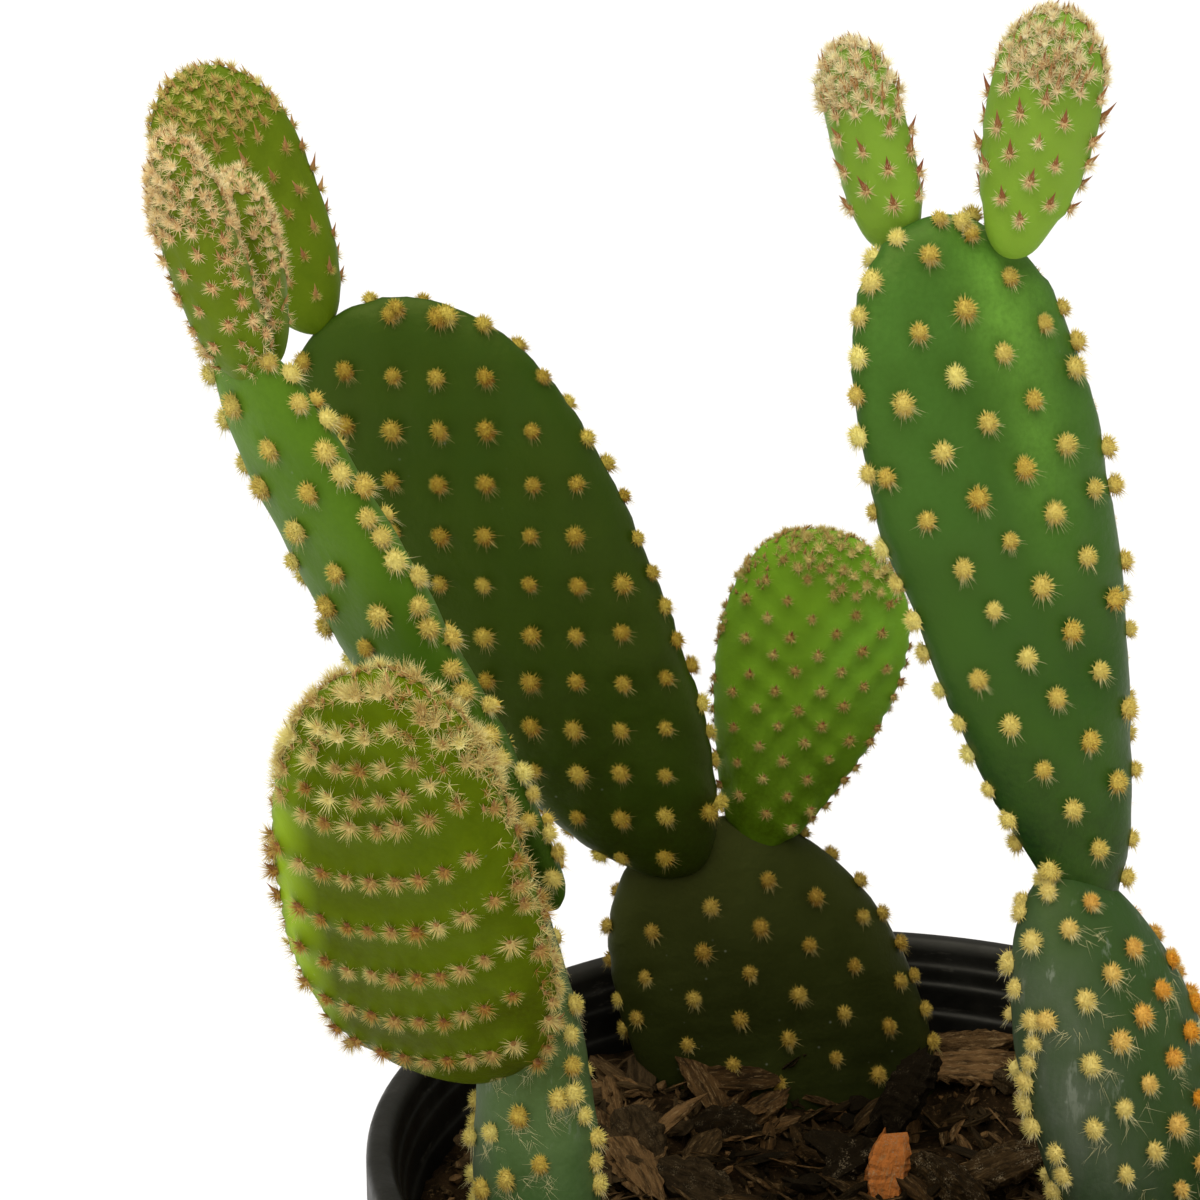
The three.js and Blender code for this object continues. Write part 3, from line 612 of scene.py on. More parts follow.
def leaf_cones(root, direction, up, length, radius, sides=6, rings=4):
    """Small pointed leaves that bend towards up: corners, the faces of one, and heights of its corners."""
    along = np.linspace(0, 1, rings + 1)[:-1]
    rows = []
    for t in along:
        centre = root + direction * (length * t)[:, None] + up * (0.3 * length * t * t)[:, None]
        spread = radius * (1 - t) ** 0.9 * (1 + 0.3 * math.sin(math.pi * min(1, t * 1.8)))
        rows.append(rings_about(centre, direction, spread, sides))
    tip = root + direction * length[:, None] + up * (0.3 * length)[:, None]
    faces = fan(rings * sides, (rings - 1) * sides, sides) + cap(0, sides) + bands(0, sides, rings)
    height = np.concatenate([np.repeat(along, sides), [1.0]])
    return np.concatenate(rows + [tip[:, None]], 1), faces, height


# Materials

class Look:
    """A material, with short calls for building its nodes."""

    def __init__(self, name, colour, rough, shine=0.5, tint=(1.0, 1.0, 1.0)):
        self.material = bpy.data.materials.new(name)
        self.material.use_nodes = True
        self.tree = self.material.node_tree
        self.shader = self.tree.nodes["Principled BSDF"]
        self.fill(self.shader, {"Base Color": colour, "Roughness": rough, "Specular IOR Level": shine,
                                "Specular Tint": tint})
        self.coordinates = self.node("ShaderNodeTexCoord").outputs["Object"]

    def fill(self, node, values):
        """Sets the named sockets of a node to numbers or colours, or links other sockets to them."""
        for key, value in values.items():
            socket = node.inputs[key]
            if isinstance(value, bpy.types.NodeSocket):
                self.tree.links.new(value, socket)
            elif isinstance(value, tuple) and len(socket.default_value) == 4:
                socket.default_value = (*value, 1)
            else:
                socket.default_value = value

    def node(self, kind, values=None, **settings):
        node = self.tree.nodes.new(kind)
        for key, value in settings.items():
            setattr(node, key, value)
        self.fill(node, values or {})
        return node

    def attribute(self, name, output="Fac"):
        return self.node("ShaderNodeAttribute", attribute_name=name).outputs[output]

    def noise(self, scale, detail=4.0, roughness=0.55, stretch=(1, 1, 1), place=None):
        mapping = self.node("ShaderNodeMapping", {"Scale": stretch, "Vector": place or self.coordinates})
        node = self.node("ShaderNodeTexNoise", {"Scale": scale, "Detail": detail, "Roughness": roughness,
                                                "Vector": mapping.outputs["Vector"]})
        return node.outputs["Fac"]

    def cells(self, scale):
        node = self.node("ShaderNodeTexVoronoi", {"Scale": scale, "Vector": self.coordinates})
        return node.outputs["Distance"]

    def span(self, value, low, high, to_low=0.0, to_high=1.0):
        """Maps low to high onto to_low to to_high, and stops at both ends."""
        node = self.node("ShaderNodeMapRange", {"Value": value, "From Min": low, "From Max": high,
                                                "To Min": to_low, "To Max": to_high})
        return node.outputs["Result"]

    def times(self, a, b):
        return self.node("ShaderNodeMath", {0: a, 1: b}, operation="MULTIPLY").outputs[0]

    def plus(self, a, b):
        return self.node("ShaderNodeMath", {0: a, 1: b}, operation="ADD").outputs[0]

    def cover(self, factor, colour):
        """Lays a colour over those so far; inputs 6 and 7 of the node are its two colours."""
        values = {"Factor": factor, 6: self.colour, 7: colour}
        self.colour = self.node("ShaderNodeMix", values, data_type="RGBA").outputs[2]

    def coat(self, where, low, high, colour, share=1.0, least=0.0):
        """Lays a colour over those so far where a value goes from low to high."""
        self.cover(self.span(where, low, high, least, share), colour)

    def finish(self, height=None, strength=0.0, distance=0.0):
        """Links the colour and, where there is one, the bump."""
        self.fill(self.shader, {"Base Color": self.colour})
        if height:
            bump = self.node("ShaderNodeBump", {"Strength": strength, "Distance": distance, "Height": height})
            self.fill(self.shader, {"Normal": bump.outputs["Normal"]})
        return self.material


def skin_material(kind, look):
    """A skin from its lower to its upper colour, where a darker lower colour is partly painted shade, with a
    painted highlight on its right upper side, mottled, with pale specks and a ring round each tuft.
    """
    g = Look(f"skin_{kind}", look["upper"], look["rough"], look["shine"], (0.95, 1.0, 0.3))
    g.fill(g.shader, {"Subsurface Weight": look["flesh"], "Subsurface Radius": (0.4, 1.0, 0.15),
                      "Subsurface Scale": 0.0015})
    # Lower to upper colour up the pad; where the lower colour is darker, it is partly the skin's own colour
    # and partly painted shade.
    g.colour = look["lower"]
    g.coat(g.attribute("height"), 0.1, 0.95, look["upper"])
    side = g.attribute("side")
    # Painted highlight on the upper part of the skin, right of its middle; faded sets how much of it is left
    # at the right edge.
    lit = g.times(g.span(side, -0.1, 0.3), g.span(side, 0.65, 0.2, look["faded"], 1.0))
    g.cover(g.times(g.span(g.attribute("height"), 0.45, 0.9), lit), look["painted_highlight"])
    g.coat(g.noise(55, 3), 0.42, 0.72, look["mottle"], 0.75)
    g.coat(g.noise(1300, 3, 0.6), 0.38, 0.7, look["mottle"], 0.3)
    if kind.startswith("grey"):
        bloom_and_scars(g, side)
    specks = g.span(g.cells(330), 0.0, 0.10, 1.0, 0.0)
    g.cover(g.times(g.times(specks, g.span(g.noise(35, 2), 0.55, 0.65)), 0.45), SCAR)
    if look["margin"]:
        g.coat(side, -0.55, -0.95, look["margin"])
    g.coat(g.attribute("tuft"), 0.2, 0.95, look["mottle"], look["around"])
    return g.finish(g.plus(g.noise(900, 4, 0.6), g.times(g.noise(160, 3), 1.4)), 0.3, 0.0004)


def bloom_and_scars(g, side):
    """The pale streaky bloom at the left of an old grey skin, and its scars."""
    left = g.span(side, -0.05, -0.75)
    streaks = g.noise(260, 5, 0.7, (1, 1, 0.3))
    bloom = g.times(left, g.span(g.noise(45, 3), 0.3, 0.6))
    g.cover(g.times(bloom, g.span(streaks, 0.35, 0.6, 0.45, 0.85)), BLOOM)
    scars = g.times(g.span(streaks, 0.60, 0.66), g.span(g.noise(34, 2), 0.46, 0.6))
    g.cover(g.times(scars, 0.3), SCAR)


def tuft_material(name, root, body, pale, deep):
    """Bristle colour from root to tip; the lower side of each tuft is darker brown, partly its own colour and
    partly painted shade.
    """
    g = Look(name, body, 0.75, 0.2)
    g.colour = root
    g.coat(g.attribute("tip"), 0.0, 0.4, body)
    g.coat(g.attribute("tip"), 0.5, 1.0, pale)
    # Painted shade, with some real browning, on the lower side of each tuft.
    g.coat(g.attribute("under"), 0.38, 0.85, deep, 0.9)
    g.coat(g.noise(4200, 3), 0.4, 0.65, deep, 0.45)
    g.coat(g.attribute("tone"), 0.15, 1.0, pale, 0.8)
    return g.finish()


def leaf_material():
    """Leaves: straw at the foot, then red brown, paler by their tone."""
    g = Look("leaf_cones", (0.3, 0.07, 0.03), 0.6, 0.2)
    g.colour = (0.30, 0.19, 0.055)
    g.coat(g.attribute("tip"), 0.0, 0.45, (0.22, 0.050, 0.020))
    g.coat(g.attribute("tip"), 0.6, 1.0, (0.12, 0.025, 0.013), 0.8)
    g.coat(g.attribute("tone"), 0.0, 1.0, (0.46, 0.27, 0.085), 0.8)
    return g.finish()


def pot_material():
    """Black plastic, lightly dusted and with a few scuffs, with painted shade that makes its inner side
    darkest.
    """
    g = Look("pot_plastic", (0.010, 0.010, 0.009), 0.45, 0.3, (1.0, 0.97, 0.86))
    dust_and_painted_light = g.span(g.noise(60, 6, 0.7), 0.48, 0.75)
    scuffs = g.span(g.noise(90, 5, 0.75, (1, 1, 5)), 0.6, 0.68)
    g.colour = (0.011, 0.011, 0.009)
    # Painted shade on the inner side of the pot.
    g.cover(g.attribute("inside"), (0.0015, 0.0015, 0.001))
    g.cover(g.times(dust_and_painted_light, 0.15), (0.045, 0.038, 0.028))
    g.cover(g.times(scuffs, 0.3), (0.09, 0.085, 0.07))
    g.fill(g.shader, {"Roughness": g.span(g.noise(140, 5, 0.7), 0.3, 0.75, 0.38, 0.65)})
    return g.finish(g.noise(700, 4, 0.6), 0.12, 0.0004)


def bark_material():
    """Weathered bark: fibres along each chip, near black to orange by its tone, pale crusts, painted light on
    the chips at the sides of the pot and painted shade on those in its middle.
    """
    g = Look("bark", (0.05, 0.025, 0.012), 0.9, 0.08, BROWN_SHINE)
    tone = g.attribute("tone")
    grain = g.attribute("grain", "Vector")
    g.colour = (0.006, 0.0042, 0.002)
    g.coat(tone, 0.0, 0.30, (0.032, 0.018, 0.006))
    g.coat(tone, 0.30, 0.60, (0.085, 0.044, 0.015))
    g.coat(tone, 0.60, 0.85, (0.21, 0.11, 0.040))
    g.coat(tone, FRESH_TONE, 1.0, (0.60, 0.175, 0.030))
    fibres = g.noise(1.1, 5, 0.65, (0.16, 1.0, 1.0), grain)
    dark = g.times(g.span(fibres, 0.36, 0.60, 0.85, 0.0), g.span(tone, 0.85, 0.95, 1.0, 0.4))
    g.cover(dark, DARK_BARK)
    streaks = g.span(g.noise(1.9, 5, 0.7, (0.2, 1.0, 1.0), grain), 0.54, 0.66)
    g.cover(g.times(g.times(streaks, g.span(tone, 0.1, 0.6)), 0.6), (0.34, 0.22, 0.10))
    patches = g.span(g.noise(0.45, 3, 0.6, place=grain), 0.50, 0.64)
    crust = g.times(patches, g.span(g.noise(3.4, 4, 0.75, place=grain), 0.52, 0.62))
    g.cover(g.times(crust, g.attribute("grit")), (0.32, 0.25, 0.15))
    # Painted light: paler brown over the fibres of the chips at the sides of the pot.
    dust_and_painted_light = g.span(g.attribute("dry"), 0.2, 1.0, 0.0, 0.36)
    g.cover(g.times(dust_and_painted_light, g.span(fibres, 0.40, 0.60, 0.3, 1.0)), (0.145, 0.094, 0.044))
    # Painted shade: darker chips in the middle of the pot.
    g.coat(g.attribute("dry"), 0.25, 0.0, DARK_BARK, 0.35)
    relief = g.plus(fibres, g.times(g.noise(2.6, 4, 0.7, (0.5, 1.0, 1.0), grain), 0.6))
    return g.finish(relief, 1.0, 0.0009)


def soil_material():
    """Dark crumbly mix with paler grit."""
    g = Look("mix_bed", (0.02, 0.012, 0.006), 0.95, 0.06, BROWN_SHINE)
    g.colour = (0.005, 0.0034, 0.0016)
    g.coat(g.noise(260, 6, 0.7), 0.35, 0.65, (0.034, 0.019, 0.008))
    g.coat(g.noise(900, 4, 0.7), 0.58, 0.68, (0.16, 0.10, 0.045), 0.6)
    return g.finish(g.noise(600, 6, 0.75), 1.0, 0.0014)


# Pads

def skin_lift(pad, sites, point):
    """How far tufts and waves raise or sink the skin at each point, and how far off the next tuft is."""
    seat, _ = pad_surface(pad, sites[:, 0], sites[:, 1], np.where(sites[:, 2] == 0, 1, sites[:, 2]))
    near = np.full(len(point), 1e9)
    hills = np.zeros(len(point))
    reach = BOWED_REACH if pad["bow"] else BUMP_REACH
    for spot in seat:
        away = np.linalg.norm(point - spot, axis=1)
        near = np.minimum(near, away)
        hills = np.maximum(hills, np.exp(-(away / reach) ** 2))
    if "swell" in pad:
        lift = hills * pad["swell"]
    else:
        lift = -DIMPLE_DEPTH * np.exp(-(near / DIMPLE_REACH) ** 2)
    return lift + ripples(point, WAVES, pad["seed"]) * np.minimum(1, near / DIMPLE_REACH), near


def skin_faces(count, rings, around):
    """Faces of two discs that share their edge; each disc has count corners of its own."""
    faces = []
    for half in (0, 1):
        starts = [half * count + 1 + ring * around for ring in range(rings - 1)] + [2 * count]
        front = fan(half * count, starts[0], around)
        for low, high in zip(starts, starts[1:]):
            front += flipped(band(low, high, around))
        faces += flipped(front) if half else front
    return faces


def skin_mesh(pad, sites, material):
    """Fine closed skin with a small swelling or dimple at each tuft."""
    step = YOUNG_STEP if "leaf" in pad else GROWN_STEP
    around = int(max(64, 2 * (pad["long"] + pad["wide"]) / step / 1.25))
    rings = int(max(16, (pad["wide"] / 2 + pad["thick"] / 2) / step))
    spread = np.sin(np.arange(1, rings) / rings * math.pi / 2) ** 0.92
    edge = circle(around)
    inner = (spread[:, None, None] * edge).reshape(-1, 2)
    disc = np.concatenate([[[0, 0]], inner, [[0, 0]], inner, edge])
    count = 1 + len(inner)
    sign = np.concatenate([np.ones(count), -np.ones(count), np.ones(around)])
    point, normal = pad_surface(pad, disc[:, 0], disc[:, 1], sign)
    lift, near = skin_lift(pad, sites, point)
    values = {
        "side": disc[:, 0],
        "height": (disc[:, 1] + 1) / 2,
        "tuft": np.exp(-(near / RING_REACH) ** 2),
    }
    points = point + normal * lift[:, None]
    return add_mesh(pad["name"] + "_skin", points, skin_faces(count, rings, around), material, values)


def seat_axes(pad, sites, rng):
    """Where each tuft sits: its place, and its sideways, tipward and outward directions.

    Tufts of the edge stand a little to the front or back of the edge line."""
    rim = sites[:, 2] == 0
    rho = np.where(rim, 1 - rng.uniform(0, 0.03, len(sites)), 1.0)
    sign = np.where(rim, rng.choice((-1, 1), len(sites)), sites[:, 2])
    seat, normal = pad_surface(pad, sites[:, 0] * rho, sites[:, 1] * rho, sign)
    axis = pad["axes"][0]
    up = unit(axis - (normal @ axis)[:, None] * normal)
    return seat, (np.cross(up, normal), up, normal)


def cap_directions(rng, tufts, n, reach):
    """For each tuft, n directions over a cap about +Z, reach radians wide, with jitter."""
    index = np.arange(n) + 0.5
    polar = np.arccos(1 - index / n * (1 - math.cos(reach))) + rng.normal(0, 0.10, (tufts, n))
    turn = index * GOLDEN_TURN + rng.uniform(0, 2 * math.pi, (tufts, 1)) + rng.normal(0, 0.12, (tufts, n))
    return np.stack([np.sin(polar) * np.cos(turn), np.sin(polar) * np.sin(turn), np.cos(polar)], -1)


def to_world(local, axes):
    """Turns vectors from each tuft's own axes into the CAD frame."""
    side, up, normal = axes
    return local[..., :1] * side[:, None] + local[..., 1:2] * up[:, None] + local[..., 2:] * normal[:, None]


def lower_side(way):
    """0 on the side of a tuft that faces the pad's tip, 1 on the side that faces its foot."""
    return np.clip(0.42 - 0.62 * way[..., 1] - 0.15 * way[..., 2], 0, 1)


def dome(rings, sides, reach):
    """A tuft's core: directions of its corners, and its faces."""
    corners = [(0.0, 0.0, 1.0)]
    for r in range(1, rings + 1):
        polar = reach * r / rings
        for x, y in circle(sides, math.pi * (r % 2) / sides):
            corners.append((math.sin(polar) * x, math.sin(polar) * y, math.cos(polar)))
    faces = fan(0, 1, sides)
    for r in range(rings - 1):
        low = 1 + r * sides
        high = low + sides
        faces += band(high, low, sides) if r % 2 else flipped(band(low, high, sides))
    return np.array(corners), faces + cap(1 + (rings - 1) * sides, sides)


def add_cores(pile, rng, centre, axes, core, stretch, tone, shape):
    """Slightly uneven domes that the bristles stand on."""
    corners, faces = shape
    count = len(centre)
    way = unit(corners + rng.normal(0, 0.05, (count, len(corners), 3)))
    reach = core[:, None] * rng.uniform(0.86, 1.08, (count, len(corners)))
    points = centre[:, None] + to_world(way * reach[..., None] * stretch[:, None], axes)
    pile.add(points, faces, tip=0.2, under=lower_side(way), tone=tone[:, None])


def add_bristles(pile, rng, centre, axes, way, start, kind, size, under, tone):
    """Thin bristles for each tuft: way is (tufts, n, 3) in the tuft's axes, kind their length and radius."""
    shape = way.shape[:2]
    longs, radii = kind
    length = rng.uniform(*longs, shape) * size[:, None]
    radius = rng.uniform(*radii, shape)
    root = (centre[:, None] + to_world(start, axes)).reshape(-1, 3)
    points, faces = spikes(root, to_world(way, axes).reshape(-1, 3), length.ravel(), radius.ravel())
    below = np.broadcast_to(under, shape).reshape(-1, 1)
    pile.add(points, faces, tip=SPIKE_TIP, under=below, tone=np.repeat(tone, shape[1])[:, None])


def grown_tufts(pad, sites, body, hair):
    """Dense golden brushes of short bristles with longer pale ones that fan out below."""
    rng = np.random.default_rng(pad["seed"])
    tufts = Pile("tip", "under", "tone")
    hairs = Pile("tip", "under", "tone")
    shape = dome(*GROWN_DOME)
    groups = ((sites[sites[:, 2] >= 0], FRONT_BRISTLES), (sites[sites[:, 2] < 0], BACK_BRISTLES))
    for group, (bristles, loose) in groups:
        count = len(group)
        seat, axes = seat_axes(pad, group, rng)
        _, up, normal = axes
        size = rng.uniform(0.82, 1.14, count) * pad["tuft"]
        core = 1.06 * size
        pale = pad["pale_side"] * np.clip(0.5 - 1.6 * group[:, 0], 0, 1) + 0.2 * (group[:, 2] == 0)
        tone = np.clip(rng.normal(0.25, 0.16, count) + pale, 0, 1)
        stretch = [rng.uniform(0.86, 1.0, count), rng.uniform(1.0, 1.2, count), np.full(count, 0.9)]
        stretch = np.stack(stretch, 1)
        centre = seat + normal * (0.3 * size)[:, None] + up * rng.uniform(-0.1, 0.2, count)[:, None]
        add_cores(tufts, rng, centre, axes, core, stretch, tone, shape)
        way = unit(cap_directions(rng, count, bristles, 1.9))
        start = way * (core[:, None] * 0.92)[..., None] * stretch[:, None]
        lean = unit(way + rng.normal(0, 0.22, way.shape) + [0, 0.05, 0.2])
        add_bristles(tufts, rng, centre, axes, lean, start, GROWN_BRISTLE, size, lower_side(way), tone)
        angle = rng.normal(-math.pi / 2, 0.62, (count, loose))
        way = unit(np.stack([np.cos(angle), np.sin(angle), rng.uniform(0.05, 0.8, angle.shape)], -1))
        start = way * (core[:, None] * 0.8)[..., None]
        add_bristles(hairs, rng, centre, axes, way, start, LOOSE_HAIR, size, 0.1, tone)
    if pad["skin"].startswith("grey"):
        fallen_hairs(pad, sites, rng, hairs)
    return [tufts.build(pad["name"] + "_tufts", body), hairs.build(pad["name"] + "_hairs", hair)]


def fallen_hairs(pad, sites, rng, hairs):
    """Wisps of loose pale hairs that lie on an old skin, most of them below a tuft."""
    faces = sites[sites[:, 2] != 0]
    chosen = faces[rng.integers(0, len(faces), WISPS)]
    shift = np.stack([rng.normal(0, 0.10, WISPS), -rng.uniform(0.02, 0.10, WISPS)], 1)
    disc = chosen[:, :2] + shift
    disc = disc * np.minimum(1, 0.98 / np.maximum(np.linalg.norm(disc, axis=1, keepdims=True), 1e-6))
    seat, normal = pad_surface(pad, disc[:, 0], disc[:, 1], chosen[:, 2])
    above = seat[:, 2] > SOIL_TOP + BARE_OVER_MIX
    seat = np.repeat(seat[above], WISP_HAIRS, 0)
    normal = np.repeat(normal[above], WISP_HAIRS, 0)
    lean = np.repeat(rng.normal(0, 0.7, (np.count_nonzero(above), 3)), WISP_HAIRS, 0)
    way = lean + rng.normal(0, 0.45, seat.shape) - 0.8 * pad["axes"][0]
    way = unit(way - np.sum(way * normal, 1, keepdims=True) * normal + 0.10 * normal)
    spread = rng.normal(0, 0.35, seat.shape)
    root = seat + spread - np.sum(spread * normal, 1, keepdims=True) * normal + 0.1 * normal
    longs, radii = WISP_HAIR
    length = rng.uniform(*longs, len(root))
    points, corners = spikes(root, way, length, rng.uniform(*radii, len(root)))
    hairs.add(points, corners, tip=SPIKE_TIP, under=0.1, tone=0.9)


def carpet_sites(pad, rng):
    """Random places for the wool that covers the crown and the margins of a young pad.

    Places near the edge move outwards, so that the steep edge is as woolly as the faces."""
    places = []
    for count, low, left, right, inner in pad["carpet"]:
        wanted = len(places) + count
        while len(places) < wanted:
            u, s = rng.uniform(-1, 1, 2)
            rho = math.hypot(u, s)
            if s > low and left < u < right and inner < rho < 0.995:
                push = 1.0
                if rho > STEEP_EDGE:
                    push = (1 - (1 - rho) * rng.uniform() ** 2) / rho
                places.append((u * push, s * push, rng.choice((-1, 1))))
    return np.array(places)


def carpet(pad, sites, rng, wool, leaves):
    """Bunches of wool straight on the skin with a few leaf tips between them."""
    places = carpet_sites(pad, rng)
    count = len(places)
    seat, axes = seat_axes(pad, places, rng)
    lift, _ = skin_lift(pad, sites, seat)
    seat = seat + axes[2] * lift[:, None]
    size = rng.uniform(0.75, 1.2, count)
    tone = np.clip(rng.normal(0.45, 0.3, count), 0, 1)
    way = unit(cap_directions(rng, count, BUNCH_BRISTLES, 1.25) + [0, 0.4, 0.1])
    start = way * rng.uniform(-0.2, 0.3, (count, BUNCH_BRISTLES, 1))
    add_bristles(wool, rng, seat, axes, way, start, WOOL_BRISTLE, size * pad["wool"], 0.2, tone)
    tips = slice(0, count, BUNCHES_A_LEAF)
    up = axes[1][tips]
    way = unit(axes[2][tips] + 1.2 * up + rng.normal(0, 0.2, up.shape))
    length = min(pad["leaf"], 1.7) * rng.uniform(0.6, 1.0, len(up))
    radius = 0.16 + 0.06 * pad["leaf"] * size[tips]
    points, faces, along = leaf_cones(seat[tips], way, up, length, radius, 5, 3)
    leaves.add(points, faces, tip=along[None], tone=0.9)


def young_tufts(pad, sites, body, leaf):
    """A small pointed leaf in a nest of pale bristles, longer and swept up above the crown."""
    rng = np.random.default_rng(pad["seed"])
    wool = Pile("tip", "under", "tone")
    leaves = Pile("tip", "tone")
    shape = dome(*YOUNG_DOME)
    for group, share in ((sites[sites[:, 2] >= 0], 1.0), (sites[sites[:, 2] < 0], 0.5)):
        count = len(group)
        bristles = int(pad["bristles"] * share)
        seat, axes = seat_axes(pad, group, rng)
        _, up, normal = axes
        height = (group[:, 1] + 1) / 2
        top = np.clip((height - pad["crown"] + 0.08) / 0.2, 0, 1)
        size = rng.uniform(0.82, 1.15, count)
        tone = np.clip(rng.normal(0.25, 0.18, count) + 0.45 * top, 0, 1)
        core = size * pad["core"]
        centre = seat + normal * (0.1 + pad["swell"] * 0.75)
        add_cores(wool, rng, centre, axes, core, np.ones((count, 3)), tone, shape)
        way = cap_directions(rng, count, bristles, 1.7)
        way = unit(way + rng.normal(0, 0.2, way.shape))
        way = unit(way + top[:, None, None] * [0, 0.8, 0.2])
        start = way * (core[:, None] * 0.85)[..., None]
        below = np.clip(0.2 - 0.4 * way[..., 1], 0, 1) * (1 - 0.8 * top[:, None])
        long = size * (1 + 0.15 * top) * pad["wool"]
        add_bristles(wool, rng, centre, axes, way, start, YOUNG_BRISTLE, long, below, tone)
        length = pad["leaf"] * rng.uniform(0.75, 1.2, count) * (1 - 0.15 * top)
        radius = (0.24 + 0.1 * pad["leaf"]) * size * (1 - 0.3 * top)
        tilt = np.stack([rng.normal(0, 0.15, count), 0.8 + 0.5 * top, np.full(count, 0.75)], -1)
        way = to_world(unit(tilt)[:, None], axes)[:, 0]
        points, faces, along = leaf_cones(centre - 0.3 * normal, way, up, length, radius)
        shade = np.clip(tone + pad["tan"], 0, 1)
        leaves.add(points, faces, tip=along[None], tone=shade[:, None])
    carpet(pad, sites, rng, wool, leaves)
    return [wool.build(pad["name"] + "_wool", body), leaves.build(pad["name"] + "_leaves", leaf, True)]


# Pot and potting mix

def outer_radius(z):
    """Radius of the pot's outside at height z, below its rim."""
    return FOOT_RADIUS + (RIM_RADIUS - 3.6 - FOOT_RADIUS) * z / (POT_HEIGHT - RIM_DROP)


def rounded(profile, passes=2):
    """Cuts the corners of a closed outline, keeping it inside its own hull."""
    points = np.array(profile, float)
    for _ in range(passes):
        ahead = np.roll(points, -1, 0)
        gap = np.linalg.norm(ahead - points, axis=1, keepdims=True)
        cut = np.minimum(0.25, 0.5 / np.maximum(gap, 1e-9))
        first = points + (ahead - points) * cut
        second = ahead - (ahead - points) * cut
        points = np.stack([first, second], 1).reshape(-1, 2)
    return points


def pot_profile():
    """Corners of the wall's outline: up the outside, then over the rim and down inside to the floor."""
    step_height = POT_HEIGHT - STEP_DROP
    step = outer_radius(step_height)
    ledge = (outer_radius(POT_HEIGHT - RIM_DROP) + 0.6, POT_HEIGHT - RIM_DROP)
    foot = outer_radius(FLOOR) - WALL
    rim = [(RIM_RADIUS + x, POT_HEIGHT + z) for x, z in RIM_OUTSIDE]
    outside = [(FOOT_RADIUS - 1.5, 0), (FOOT_RADIUS, 1.5), (step, step_height), (step + 1, step_height + 1.5)]
    inside = [(RIM_RADIUS + x, POT_HEIGHT + z) for x, z in RIM_INSIDE]
    inside += [(step - WALL + 0.8, step_height + 2), (step - WALL, step_height)]
    return outside + [ledge] + rim, inside + [(foot, FLOOR + 1), (foot - 1, FLOOR)]


def pot_mesh(material):
    """The pot turned round its axis; the attribute inside is 1 on its inner side, where the material paints
    shade.
    """
    outside, inside = pot_profile()
    curve = rounded(outside + inside)[:-1]
    points = [[0, 0, 0]]
    for radius, z in curve:
        points += [[radius * x, radius * y, z] for x, y in circle(POT_SIDES)]
    points.append([0, 0, FLOOR])
    faces = flipped(fan(0, 1, POT_SIDES)) + bands(1, POT_SIDES, len(curve))
    faces += fan(len(points) - 1, 1 + (len(curve) - 1) * POT_SIDES, POT_SIDES)
    outward = len(outside) / len(outside + inside)
    dark = np.repeat(np.arange(len(curve)) / len(curve) > outward, POT_SIDES)
    piece = add_mesh("pot_shell", points, faces, material, {"inside": np.concatenate([[0], dark, [1]])})
    drain(piece)
    piece.data.polygons.foreach_set("use_smooth", np.ones(len(piece.data.polygons), bool))
    piece.data.set_sharp_from_angle(angle=math.radians(SHARP_ANGLE))
    return piece


def drain(piece):
    """Cuts the drainage holes through the floor."""
    for x, y in DRAIN_CIRCLE * MM * circle(DRAIN_HOLES, math.pi / DRAIN_HOLES):
        bpy.ops.mesh.primitive_cylinder_add(vertices=32, radius=DRAIN_RADIUS * MM, depth=12 * MM,
                                            location=(x, y, 0))
        cutter = bpy.context.object
        cut = piece.modifiers.new("drain", "BOOLEAN")
        cut.object = cutter
        cut.operation = "DIFFERENCE"
        bpy.context.view_layer.objects.active = piece
        bpy.ops.object.modifier_apply(modifier=cut.name)
        bpy.data.objects.remove(cutter)


def soil_mesh(material):
    """The mix under the loose chips: a closed disc with a crumbly top."""
    ring = circle(BED_SIDES)
    rings = [BED_EDGE * k / BED_RINGS * ring for k in range(1, BED_RINGS + 1)]
    flat = np.concatenate([[[0, 0]], *rings])
    top = np.column_stack([flat, np.zeros(len(flat))])
    top[:, 2] = soil_level(flat[:, 0], flat[:, 1]) - BED_SUNK + ripples(top, CRUMBS)
    skirt = np.column_stack([BED_FOOT * ring, np.full(BED_SIDES, BED_UNDERSIDE)])
    points = np.concatenate([top, skirt, [[0, 0, BED_UNDERSIDE]]])
    below = fan(len(points) - 1, 1 + BED_RINGS * BED_SIDES, BED_SIDES)
    faces = fan(0, 1, BED_SIDES) + flipped(bands(1, BED_SIDES, BED_RINGS + 1) + below)
    return add_mesh("mix_bed", points, faces, material, {})


